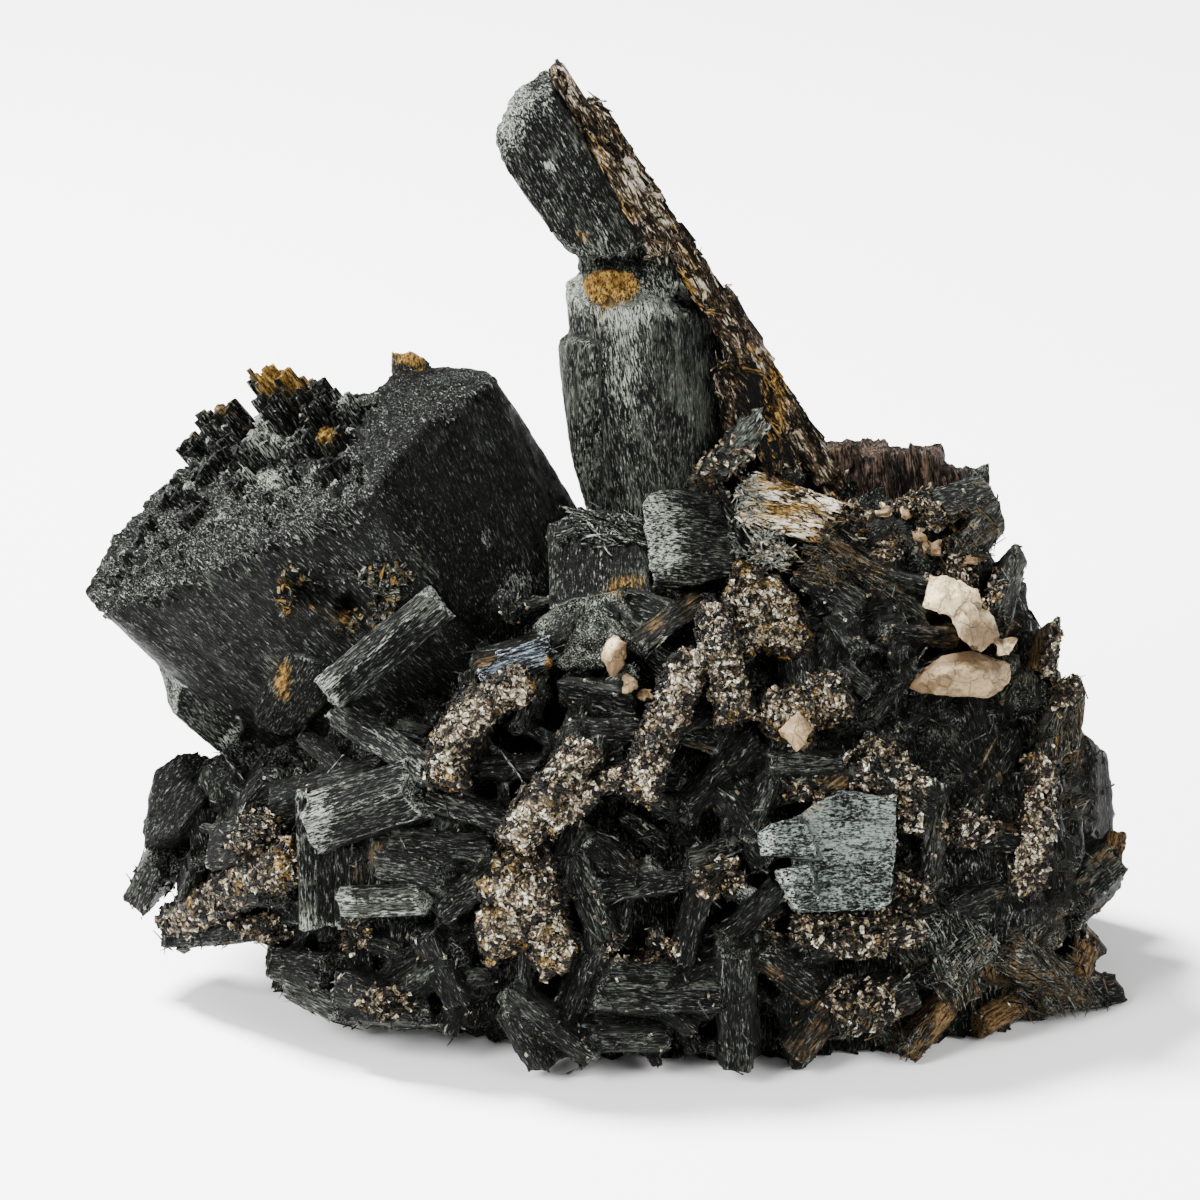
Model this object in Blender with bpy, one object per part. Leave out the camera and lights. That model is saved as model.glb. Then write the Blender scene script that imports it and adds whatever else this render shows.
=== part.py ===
"""Amphibole specimen: dark fibrous prisms grown together on a broken mass, with cream feldspar.

A hand-sized cluster. A stout double crystal leans out to the left, a tall crystal stands in the
middle with rusty blades down its side, and small prisms, crusted rods, a pale plate and feldspar
cover a mass of intergrown crystals, which rests on its flat broken underside.

Places are given in millimetres on a drawing board that leans back behind the specimen: right of
its middle line, up it, and out towards the viewer. board() turns such a place into the world's.
"""
import math
import random

import bmesh
import bpy
import numpy as np
from mathutils import Vector

MM = 0.001
FIT_GAP = 0.35           # space left between a crystal and the socket it sits in
CHIP = 0.22              # how far a broken end's corners wander, as a part of the crystal's width

BOARD_LEAN = math.radians(18)
BOARD_MIDDLE = 36.9      # height on the board that is level with the viewer's eye
EYE_DISTANCE = 700.0
LEAN_SIN, LEAN_COS = math.sin(BOARD_LEAN), math.cos(BOARD_LEAN)
OUTWARD = Vector((0.0, -LEAN_COS, LEAN_SIN))

MOUND_MIDDLE = 4.0       # the mass is widest along this line
MOUND_HALF_WIDTH = 52.0
MOUND_FRONT = 31.0       # how far the mass reaches forward at its foot
MOUND_SHOULDER = 12.0    # height above which its front leans back
MOUND_TOP = 55.0         # height at which it has leaned back by MOUND_LEAN_BACK
MOUND_LEAN_BACK = 36.0
MOUND_ROUNDING = 2.5     # how squarely the mass is rounded from front to sides

# how near corners merge, in metres, and how flat an edge is dissolved: the first that works
TIDIES = [(weld, math.radians(flat)) for flat in (1, 0.3, 0.1)
          for weld in (0.00003, 0.00001, 0.000004, 0.000001)]
MATRIX_KEPT = 0.45       # part of the mass's triangles that are kept
ROD_OVERLAP = 0.9        # how far the lengths of a crusted rod run into each other
GROUND_HALF = 0.2        # size, in metres, of the block that cuts the underside flat
GROUND_DEPTH = 0.05


# ---- places -------------------------------------------------------------------------------

def board(right, up, out):
    """World place, in metres, of a place on the drawing board, in millimetres."""
    nearer = 1 - out / EYE_DISTANCE
    x = right * nearer
    rise = BOARD_MIDDLE + (up - BOARD_MIDDLE) * nearer
    return Vector((x, rise * LEAN_SIN - out * LEAN_COS, rise * LEAN_COS + out * LEAN_SIN)) * MM


def front(right, up, lift=0.0):
    """A board place on the mass's front, raised by `lift`."""
    out = MOUND_FRONT
    side = MOUND_FRONT * abs((right - MOUND_MIDDLE) / MOUND_HALF_WIDTH) ** MOUND_ROUNDING
    rise = MOUND_TOP - MOUND_SHOULDER
    for _ in range(4):
        height = up * LEAN_COS + out * LEAN_SIN
        slope = MOUND_LEAN_BACK * (max(0.0, height - MOUND_SHOULDER) / rise) ** 2
        out = (up * LEAN_SIN + MOUND_FRONT - side - slope) / LEAN_COS
    return right, up, out + lift


# ---- convex bodies, each a list of corner points --------------------------------------------

def ring(middle, across, behind, width, depth, sides, turn, rng, rough):
    """Corners of a crystal's cross-section, with a little unevenness."""
    corners = []
    for k in range(sides):
        angle = turn + math.tau * (k + 0.5) / sides
        swell = 1 + rough * rng.uniform(-1, 1)
        corners.append(middle + across * (math.cos(angle) * width / 2 * MM * swell)
                       + behind * (math.sin(angle) * depth / 2 * MM * swell))
    return corners


def prism(foot, tip, width, depth, turn=0.0, sides=6, taper=1.0, seed=1, rough=0.05):
    """A crystal from foot to tip, with flat sides and broken ends."""
    rng = random.Random(seed)
    start, end = board(*foot), board(*tip)
    axis = (end - start).normalized()
    across = axis.cross(OUTWARD).normalized()
    behind = across.cross(axis)
    swing = math.radians(turn)
    corners = []
    for middle, scale, way in ((start, 1.0, -1), (end, taper, 1)):
        for corner in ring(middle, across, behind, width * scale, depth * scale, sides, swing,
                           rng, rough):
            corners.append(corner + axis * (way * rng.uniform(-1, 0.4) * CHIP * width * MM))
    return corners


def lump(middle, size, seed=1, points=13):
    """A knobbly grain: the hull of uneven points round an ellipsoid."""
    rng = random.Random(seed)
    centre = board(*middle)
    corners = []
    for k in range(points):
        z = 1 - (2 * k + 1) / points
        angle = k * math.pi * (3 - math.sqrt(5)) + rng.uniform(-0.3, 0.3)
        flat = math.sqrt(1 - z * z)
        reach = rng.uniform(0.82, 1.12) * MM / 2
        corners.append(centre + Vector((math.cos(angle) * flat * size[0] * reach,
                                        math.sin(angle) * flat * size[1] * reach,
                                        z * size[2] * reach)))
    return corners


def rod(path, width, depth, seed=1):
    """A bent, knobbly rod along board places: short lengths that run into each other."""
    rng = random.Random(seed)
    bodies = []
    for k in range(len(path) - 1):
        start, end = Vector(path[k]), Vector(path[k + 1])
        over = (end - start).normalized() * ROD_OVERLAP
        fat = rng.uniform(0.88, 1.12)
        bodies.append(prism(start - over, end + over, width * fat, depth * fat, sides=7,
                            turn=rng.uniform(0, 50), seed=seed + k, rough=0.12))
    return bodies


def sheet(outline, thickness, lift=0.0):
    """A flat plate with a convex outline of places on the mass's front."""
    faces = [front(right, up, lift) for right, up in outline]
    out = sum(place[2] for place in faces) / len(faces)
    return [board(right, up, out - depth) for right, up, _ in faces for depth in (0, thickness)]


def block(corners):
    """A crystal from its own corners, each a board place."""
    return [board(*corner) for corner in corners]


# ---- solids ---------------------------------------------------------------------------------

def convex_mesh(corners, grow):
    """Closed mesh of the hull of the corners, with every face moved out by `grow`."""
    bm = bmesh.new()
    for corner in corners:
        bm.verts.new(corner)
    hull = bmesh.ops.convex_hull(bm, input=bm.verts[:])
    inside = {vert for vert in hull["geom_interior"] + hull["geom_unused"]
              if isinstance(vert, bmesh.types.BMVert)}
    bmesh.ops.delete(bm, geom=list(inside), context="VERTS")
    bmesh.ops.recalc_face_normals(bm, faces=bm.faces[:])
    if grow:
        moves = []
        for vert in bm.verts:
            normals = np.array([face.normal for face in vert.link_faces])
            moves.append(np.linalg.lstsq(normals, np.full(len(normals), grow), rcond=0.06)[0])
        for vert, move in zip(bm.verts, moves):
            vert.co += Vector(move)
    return bm


def solid(name, bodies, grow=0.0):
    """One object that holds all the bodies, not yet fused."""
    whole = bpy.data.meshes.new(name)
    joined = bmesh.new()
    for corners in bodies:
        body = convex_mesh(corners, grow)
        body.to_mesh(whole)
        body.free()
        joined.from_mesh(whole)
    joined.to_mesh(whole)
    joined.free()
    thing = bpy.data.objects.new(name, whole)
    bpy.context.collection.objects.link(thing)
    return thing


def settle(thing):
    """Turn the object's modifiers into its own mesh."""
    depsgraph = bpy.context.evaluated_depsgraph_get()
    result = bpy.data.meshes.new_from_object(thing.evaluated_get(depsgraph))
    thing.modifiers.clear()
    spent = thing.data
    thing.data = result
    bpy.data.meshes.remove(spent)


def combine(thing, other, operation):
    """Fuse the other object into this one or cut it away, and delete the other."""
    cut = thing.modifiers.new("combine", "BOOLEAN")
    cut.operation = operation
    cut.object = other
    cut.solver = "EXACT"
    cut.use_self = True
    settle(thing)
    bpy.data.objects.remove(other)


def thin(thing, kept):
    """Keep only a part of the triangles, dropping the flattest corners first."""
    fewer = thing.modifiers.new("thin", "DECIMATE")
    fewer.ratio = kept
    settle(thing)


def fuse(name, bodies, grow=0.0):
    """All the bodies as one solid, with no walls left inside."""
    thing = solid(name, bodies[:1], grow)
    if len(bodies) > 1:
        combine(thing, solid(name + "_more", bodies[1:], grow), "UNION")
    return thing


def islands(bm):
    """The separate shells of a mesh, as lists of faces."""
    left = set(bm.faces)
    shells = []
    while left:
        shell, waiting = [], [left.pop()]
        while waiting:
            face = waiting.pop()
            shell.append(face)
            for edge in face.edges:
                for other in edge.link_faces:
                    if other in left:
                        left.remove(other)
                        waiting.append(other)
        shells.append(shell)
    return shells


def volume(shell):
    """Signed volume inside a shell; a hollow's is negative."""
    total = 0.0
    for face in shell:
        first = face.verts[0].co
        for k in range(1, len(face.verts) - 1):
            total += first.dot(face.verts[k].co.cross(face.verts[k + 1].co)) / 6
    return total


def largest_shell(mesh, weld, flat):
    """The mesh's largest shell in triangles, its near corners merged, and whether it is closed."""
    bm = bmesh.new()
    bm.from_mesh(mesh)
    bmesh.ops.remove_doubles(bm, verts=bm.verts[:], dist=weld)
    bmesh.ops.dissolve_degenerate(bm, edges=bm.edges[:], dist=weld)
    bmesh.ops.dissolve_limit(bm, angle_limit=flat, verts=bm.verts[:], edges=bm.edges[:])
    bmesh.ops.triangulate(bm, faces=bm.faces[:])
    shells = sorted(islands(bm), key=volume)
    chips = [face for shell in shells[:-1] for face in shell]
    bmesh.ops.delete(bm, geom=chips, context="FACES")
    strays = [edge for edge in bm.edges if edge.is_wire]
    bmesh.ops.delete(bm, geom=strays, context="EDGES")
    closed = all(edge.is_manifold for edge in bm.edges) and all(v.is_manifold for v in bm.verts)
    return bm, closed


def tidy(thing):
    """Keep the largest shell, welded and flattened as far as it stays closed."""
    for weld, flat in TIDIES:
        bm, closed = largest_shell(thing.data, weld, flat)
        if closed:
            break
    bm.to_mesh(thing.data)
    bm.free()


def ground():
    """The flat that the specimen's broken underside is cut to."""
    bm = bmesh.new()
    bmesh.ops.create_cube(bm, size=1.0)
    bmesh.ops.scale(bm, vec=(GROUND_HALF * 2, GROUND_HALF * 2, GROUND_DEPTH), verts=bm.verts[:])
    bmesh.ops.translate(bm, vec=(0, 0, -GROUND_DEPTH / 2), verts=bm.verts[:])
    mesh = bpy.data.meshes.new("ground")
    bm.to_mesh(mesh)
    bm.free()
    thing = bpy.data.objects.new("ground", mesh)
    bpy.context.collection.objects.link(thing)
    return thing


# ---- the stout double crystal at the left -----------------------------------------------------

END_FRONT_LEFT = Vector((-50.2, 36.8, 10.0))     # corners of its broken, toothed end
END_FRONT_RIGHT = Vector((-23.0, 47.8, 29.0))
END_BACK_LEFT = Vector((-42.3, 50.3, -8.0))
END_BACK_RIGHT = Vector((-22.5, 58.3, 0.0))
TOOTH_ROWS = 3
TEETH_PER_ROW = 6
FAN_LEFT = math.radians(137)    # way of the fibres at the end's left, seen on the board
FAN_SPREAD = math.radians(13)   # and how much steeper they are at its right
FAN_FLAT, FAN_OUT = 0.95, 0.3   # how far they run along the board and out of it


def end_place(along, back):
    """A place on the toothed end: along from left to right, back from front to rear."""
    near = END_FRONT_LEFT.lerp(END_FRONT_RIGHT, along)
    far = END_BACK_LEFT.lerp(END_BACK_RIGHT, along)
    return near.lerp(far, back)


def fan(along):
    """Way that the crystal's fibres run at its end: they spread like a sheaf."""
    angle = FAN_LEFT - FAN_SPREAD * along
    return Vector((math.cos(angle) * FAN_FLAT, math.sin(angle) * FAN_FLAT, FAN_OUT))


def tooth(along, back, length, width, seed):
    """A small prism left standing on the toothed end."""
    place = end_place(along, back)
    way = fan(along)
    return prism(place - way * 3, place + way * length, width, width * 0.9, turn=20, sides=4,
                 seed=seed, rough=0.12)


def stout_crystal():
    """Two lobes grown side by side, a crystal set in their front, a rusty stub and the teeth."""
    left_lobe = block([
        (-51.6, 37.6, 5), (-50.0, 36.0, 12), (-49.0, 35.6, 15), (-36.5, 41.2, 24),
        (-23.0, 47.6, 30), (-20.5, 52.5, 20), (-22.5, 58.0, 0), (-31.0, 56.0, -6),
        (-42.3, 50.3, -8), (-49.0, 43.0, -4),
        (-33.8, 20.6, 4), (-30.0, 21.1, 9), (-9.0, 27.0, 22), (-6.0, 38.0, 4),
        (-16.0, 41.0, -14), (-27.0, 33.0, -14), (-35.0, 25.0, -8)])
    right_lobe = block([
        (-22.9, 47.8, 30), (-21.6, 50.2, 28.5), (-16.7, 55.4, 22), (-10.6, 59.2, 13),
        (-24.0, 57.0, 6), (-20.6, 59.6, 3), (-15.6, 60.2, -2), (-11.5, 59.9, -2),
        (-15.8, 36.0, 26), (-10.0, 28.0, 20), (-1.5, 36.9, 14), (0.0, 42.9, 6),
        (-6.0, 42.0, -8), (-18.0, 41.0, -4)])
    inset = block([
        (-31.0, 31.9, 18.5), (-27.3, 30.6, 19.2), (-27.6, 26.5, 16.2), (-30.5, 23.0, 12.6),
        (-34.6, 23.6, 11.6), (-34.8, 26.0, 13.2),
        (-30.0, 30.0, 8), (-28.5, 27.0, 8), (-33.0, 25.0, 6)])
    ledge = block([
        (-43.0, 25.8, 8), (-42.4, 24.8, 10), (-38.0, 20.9, 10), (-35.0, 20.4, 6),
        (-34.0, 22.5, -4), (-41.0, 26.5, 0)])
    root = prism((-31.5, 17.5, 6), (-35.5, 24.0, 4), 5.0, 7.0, turn=10, seed=5)
    stub = prism((-18.6, 57.0, 2), (-19.2, 62.2, 3.5), 3.6, 3.0, turn=10, sides=5, seed=3)
    bundle = prism((-28.0, 53.0, 0), (-31.0, 60.4, 3), 4.0, 3.6, turn=10, sides=5, seed=4)
    spike = prism((-26.5, 55.0, 2), (-27.4, 60.3, 3), 1.6, 1.6, turn=10, sides=5, seed=8)
    brown_tooth = prism((-37.5, 51.0, -4), (-41.2, 53.9, -3), 2.4, 2.4, turn=10, seed=9)
    crag = prism((-33.0, 50.0, 2), (-37.2, 57.6, 2), 3.4, 3.0, turn=10, sides=5, seed=7)
    teeth = []
    rng = random.Random(11)
    for row in range(TOOTH_ROWS):
        for k in range(TEETH_PER_ROW):
            along = (k + rng.uniform(0.2, 0.8)) / TEETH_PER_ROW
            back = (row + rng.uniform(0.3, 0.9)) / TOOTH_ROWS
            length = rng.uniform(0.8, 2.2) + 2.0 * back * math.sin(math.pi * along)
            teeth.append(tooth(along, back, length, rng.uniform(1.3, 2.2), seed=k + 10 * row))
    return [left_lobe, right_lobe, inset, ledge, root, stub, bundle, spike, brown_tooth,
            crag] + teeth


# ---- the tall crystal and the blades along it --------------------------------------------------

def tall_crystal():
    """A standing prism, a worn neck, and the prism that leans on from it."""
    lower = block([
        (-3.5, 68.8, 13), (-3.4, 67.0, 18), (4.8, 66.9, 27), (11.8, 65.0, 17), (12.4, 62.5, 13),
        (8.5, 70.5, 6), (0.0, 71.2, 5),
        (-1.0, 45.0, 10), (0.0, 42.0, 14), (6.8, 42.0, 20), (14.0, 44.0, 13), (13.0, 48.0, 5),
        (6.0, 46.0, -1), (1.0, 46.0, 2)])
    step = block([
        (-4.0, 63.4, 13), (-4.2, 62.0, 17), (-3.2, 63.0, 19.2), (-3.0, 52.0, 9),
        (-2.7, 51.0, 17.2), (-0.8, 44.0, 14.5), (-0.4, 62.6, 21.6), (2.0, 62.0, 10),
        (2.0, 45.0, 8)])
    neck = block([
        (-2.4, 73.0, 20), (-1.6, 69.0, 22), (-1.3, 66.6, 24), (3.6, 66.4, 26), (5.0, 70.6, 25),
        (5.2, 73.4, 24), (-1.0, 74.0, 14), (4.6, 73.6, 13), (0.0, 67.0, 12), (5.0, 67.0, 12)])
    upper = block([
        (-5.3, 90.0, 24), (-5.0, 88.0, 31), (-8.6, 88.0, 28), (-9.6, 85.8, 30), (-10.5, 82.6, 29),
        (-9.4, 79.9, 30.5), (-3.6, 71.9, 27.5), (-2.4, 71.3, 26.5), (1.4, 70.8, 28),
        (5.0, 72.9, 26), (-4.0, 86.4, 31),
        (-9.4, 85.0, 21), (-3.0, 72.5, 17), (5.0, 73.5, 17), (-4.8, 89.0, 22)])
    return [lower, step, neck, upper]


def blade(foot, tip, width, depth, seed):
    """One thin, rusty blade of the pack beside the tall crystal."""
    return prism(foot, tip, width, depth, turn=0, sides=4, taper=0.9, seed=seed, rough=0.1)


def rusty_slab():
    """Split blades packed side by side, stepping down from the tall crystal's tip to the mass."""
    return [
        blade((6.2, 71.5, 24), (-4.6, 90.0, 27), 2.8, 9, 1),
        blade((9.0, 70.5, 22), (-1.2, 86.4, 26), 3.0, 9, 2),
        blade((10.8, 67.0, 20), (4.2, 78.6, 25), 3.2, 10, 3),
        blade((16.2, 58.0, 17), (8.4, 71.6, 21), 3.4, 11, 5),
        blade((19.0, 54.0, 16), (12.0, 67.4, 19), 3.8, 10, 6),
        blade((22.6, 49.0, 14), (14.8, 62.0, 18), 3.6, 9, 7),
        blade((18.4, 49.6, 17), (13.0, 61.6, 20), 4.6, 9, 8),
        blade((23.8, 48.0, 12), (17.4, 58.0, 16), 3.6, 9, 9),
        blade((14.6, 49.0, 14), (12.2, 60.0, 17), 3.2, 9, 10),
    ]


# ---- crystals in the middle ---------------------------------------------------------------------

def squat_crystal():
    """A short prism with a frosted end turned to the left."""
    return [block([
        (4.0, 46.4, 27), (5.0, 47.7, 26), (8.0, 48.2, 22), (8.2, 40.9, 28), (6.0, 38.9, 30),
        (4.8, 39.9, 30), (8.5, 48.3, 13), (14.6, 46.9, 17), (15.0, 42.0, 21), (13.5, 39.4, 24),
        (9.0, 38.0, 27), (14.0, 44.0, 10), (7.0, 42.0, 14)])]


def frayed_crystal():
    """Cream and orange splinters at the squat crystal's far end."""
    return [
        blade((14.0, 45.9, 21), (22.5, 43.6, 20), 4.0, 5, 21),
        blade((14.4, 48.8, 19), (24.0, 45.6, 19), 3.0, 5, 22),
        blade((15.6, 42.4, 23), (19.5, 40.4, 23), 3.2, 4, 23),
        blade((20.0, 45.8, 19), (26.0, 43.6, 18), 2.6, 4, 24),
    ]


def hexagonal_crystal():
    """A dull prism whose six-sided end looks out at the front, with a second one above it."""
    return [
        block([(-7.5, 32.4, 27), (-6.5, 34.6, 27), (-3.0, 37.0, 26.5), (2.0, 37.8, 26),
               (4.2, 33.4, 28), (0.2, 30.0, 29), (-4.0, 30.0, 29),
               (-5.0, 36.5, 15), (3.0, 38.0, 14), (5.0, 34.0, 16), (0.0, 29.0, 17),
               (-6.0, 31.0, 16)]),
        block([(-5.0, 36.0, 24), (-5.2, 44.6, 18.5), (-2.0, 46.2, 17), (4.6, 45.2, 19),
               (5.4, 37.0, 24), (0.6, 35.8, 26), (0.0, 45.0, 21),
               (-4.0, 37.0, 12), (-3.0, 44.0, 10), (4.0, 44.0, 10), (5.0, 37.0, 12)])]


def glossy_crystal():
    """Fresh, shiny laths side by side."""
    return [
        prism(front(-12.4, 29.2, 0.8), front(-5.0, 31.2, 0.8), 2.4, 5, turn=20, sides=5, seed=31),
        prism(front(-10.5, 30.8, 1.0), front(-4.4, 32.6, 1.0), 2.2, 5, turn=20, sides=5, seed=32),
    ]


# ---- prisms at the front left ---------------------------------------------------------------------

def leaning_prism():
    return [prism(front(-27.3, 27.2, 4.5), front(-15.9, 36.9, 5.5), 4.6, 5.0, turn=15, seed=41)]


def crossing_prism():
    return [prism(front(-26.4, 26.0, 1.5), front(-16.6, 19.3, 2.5), 3.5, 4.0, turn=10, seed=42)]


def broad_prism():
    return [prism(front(-29.2, 14.4, 2.5), front(-17.4, 18.4, 2.0), 7.0, 6.0, turn=5, seed=43)]


def low_prism():
    return [prism(front(-26.4, 6.7, 2.5), front(-17.0, 7.0, 1.5), 3.6, 4.0, turn=5, seed=44)]


def upright_lath():
    return [prism(front(-29.0, 3.6, 1.5), front(-29.4, 17.8, 1.5), 2.6, 6.0, turn=0, sides=4,
                  seed=45, rough=0.03),
            prism(front(-27.0, 4.0, 0.0), front(-27.0, 12.6, 0.0), 4.5, 3.0, turn=0, sides=4,
                  seed=46)]


def dark_prism():
    """The six-sided prism at the far left, under the stout crystal."""
    return [block([
        (-44.5, 19.9, 13), (-42.0, 21.6, 12), (-40.0, 21.7, 11), (-37.6, 20.4, 10),
        (-39.5, 16.9, 15), (-42.0, 13.9, 16), (-45.6, 11.9, 14), (-45.8, 14.9, 12),
        (-44.0, 16.9, 6), (-38.0, 14.0, 4), (-42.0, 10.9, 5), (-38.6, 20.0, 2)]),
        prism((-38.5, 8.5, 13), (-39.8, 16.0, 12), 3.4, 5.0, turn=10, seed=47)]


# ---- rods and lumps under a granular crust -----------------------------------------------------

CRUSTED_RODS = {
    "coated_rod_left": ([(-41.4, 4.9, 0), (-39.0, 6.2, 0.5), (-34.5, 9.0, 1), (-31.0, 10.6, 1)],
                        4.2, 5.0),
    "coated_rod_upper": ([(-15.2, 18.8, 4), (-14.9, 22.6, 4), (-12.2, 26.2, 4), (-8.4, 28.4, 3)],
                         4.3, 4.6),
    "coated_rod_middle": ([(-8.6, 12.8, 3), (-5.6, 16.8, 4), (-2.0, 21.4, 3)], 4.0, 4.4),
    "coated_rod_right": ([(4.0, 17.6, 3.5), (5.8, 23.2, 4), (9.0, 30.2, 4)], 4.0, 4.4),
    "coated_rod_short": ([(11.4, 35.6, 4), (12.0, 31.0, 4), (13.4, 25.8, 3)], 3.8, 4.2),
    "coated_rod_flank": ([(44.2, 20.4, 2), (43.6, 14.4, 3), (42.4, 8.6, 2)], 3.8, 5.0),
}

CRUSTED_LUMPS = {
    "coated_lump": [((-7.4, 6.6, 1), (9.5, 9, 12)), ((-9.6, 4.4, 1.5), (6, 7, 8)),
                    ((-5.0, 2.6, 1), (6, 7, 7))],
    "coated_cluster": [((16.0, 36.4, 1), (8, 8, 6)), ((18.6, 33.6, 1), (7, 7, 6)),
                       ((14.6, 33.4, 1), (5, 6, 5)), ((14.8, 38.6, 0), (5, 6, 5))],
    "coated_knot": [((19.0, 25.4, 1.5), (7.5, 7, 6)), ((22.2, 26.8, 1), (6, 6, 7)),
                    ((19.8, 23.8, 3), (4.2, 3, 4.6))],
}


def coated_rod(name):
    path, width, depth = CRUSTED_RODS[name]
    return rod([front(*place) for place in path], width, depth, seed=len(name))


def coated_lump(name):
    return [lump(front(*place), size, seed=k + len(name))
            for k, (place, size) in enumerate(CRUSTED_LUMPS[name])]


# ---- the plate, the feldspar and the brown block -------------------------------------------------

def pale_plate():
    """A broken plate that faces forward, with tongues on its left side."""
    return [
        sheet([(20.0, 15.4), (22.0, 16.9), (24.2, 18.0), (29.5, 17.0), (29.6, 12.0), (29.0, 6.8),
               (28.0, 5.9), (19.6, 5.6), (18.7, 7.0), (19.4, 11.0)], 3.4, 2.6),
        sheet([(15.5, 13.4), (17.0, 14.4), (20.0, 15.4), (22.0, 11.0), (16.0, 11.3)], 3.0, 2.4),
        sheet([(17.4, 9.9), (18.0, 8.0), (19.6, 5.6), (22.0, 7.0), (21.0, 10.4)], 3.0, 2.3)]


def feldspar_star():
    """An angular cream crystal: a spiky crown, a slanting body below it and a knob beside that."""
    crown = block([
        (32.2, 36.2, 28), (33.6, 38.0, 27), (32.7, 39.3, 26), (34.4, 39.6, 26), (36.0, 38.1, 26),
        (37.8, 37.9, 25), (38.2, 36.6, 26), (35.0, 35.3, 29), (33.8, 35.7, 28.6),
        (34.6, 37.4, 29.6), (35.0, 37.0, 18), (37.0, 37.0, 18)])
    body = block([
        (35.0, 35.3, 28.6), (36.9, 36.7, 28), (38.5, 36.2, 26), (39.7, 34.4, 25),
        (39.8, 33.2, 25.5), (38.1, 31.4, 27), (36.0, 32.9, 28.8), (35.8, 34.4, 29.4),
        (37.0, 35.0, 16), (39.0, 34.0, 16), (38.0, 32.6, 17)])
    knob = block([
        (39.5, 32.9, 26), (41.1, 32.4, 25.4), (40.9, 31.3, 25.4), (39.6, 31.2, 26.4),
        (40.6, 33.6, 24), (41.9, 33.2, 23), (40.5, 32.0, 17)])
    return [crown, body, knob]


def feldspar_bean():
    """A rounded cream grain under the angular one."""
    return [block([
        (30.6, 28.0, 25), (31.5, 29.9, 25), (34.0, 31.4, 25), (37.3, 31.9, 24.4),
        (39.6, 31.2, 24), (41.1, 30.5, 23), (41.2, 29.2, 23), (40.2, 27.8, 24),
        (38.8, 27.0, 25), (36.4, 27.2, 26.6), (33.6, 27.2, 27), (34.0, 29.4, 29.4),
        (38.5, 29.6, 28.6), (36.6, 30.6, 28.4), (35.0, 29.5, 17), (39.0, 29.5, 16)])]


def feldspar_chip():
    """A small cream and brown grain among the middle crystals."""
    return [block([(0.0, 31.0, 33), (0.2, 33.2, 32), (1.4, 33.8, 31), (2.8, 32.6, 32),
                   (2.5, 30.4, 34), (1.2, 29.0, 34), (1.0, 31.6, 35.4), (1.4, 31.5, 26)])]


def brown_block():
    """A weathered brown crystal at the top right, split upright."""
    bodies = []
    rng = random.Random(61)
    tops = [(23.6, 52.9), (26.6, 52.4), (29.6, 52.6), (32.4, 52.2), (34.6, 50.4)]
    for k, (right, up) in enumerate(tops):
        bodies.append(prism((right + 1.0, up - 9.0, 8 - k * 0.6), (right, up, 9 - k * 0.8),
                            4.6, rng.uniform(10, 13), turn=8, sides=5, seed=k + 62))
    return bodies


# ---- the mass they all grow from -------------------------------------------------------------------

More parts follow.
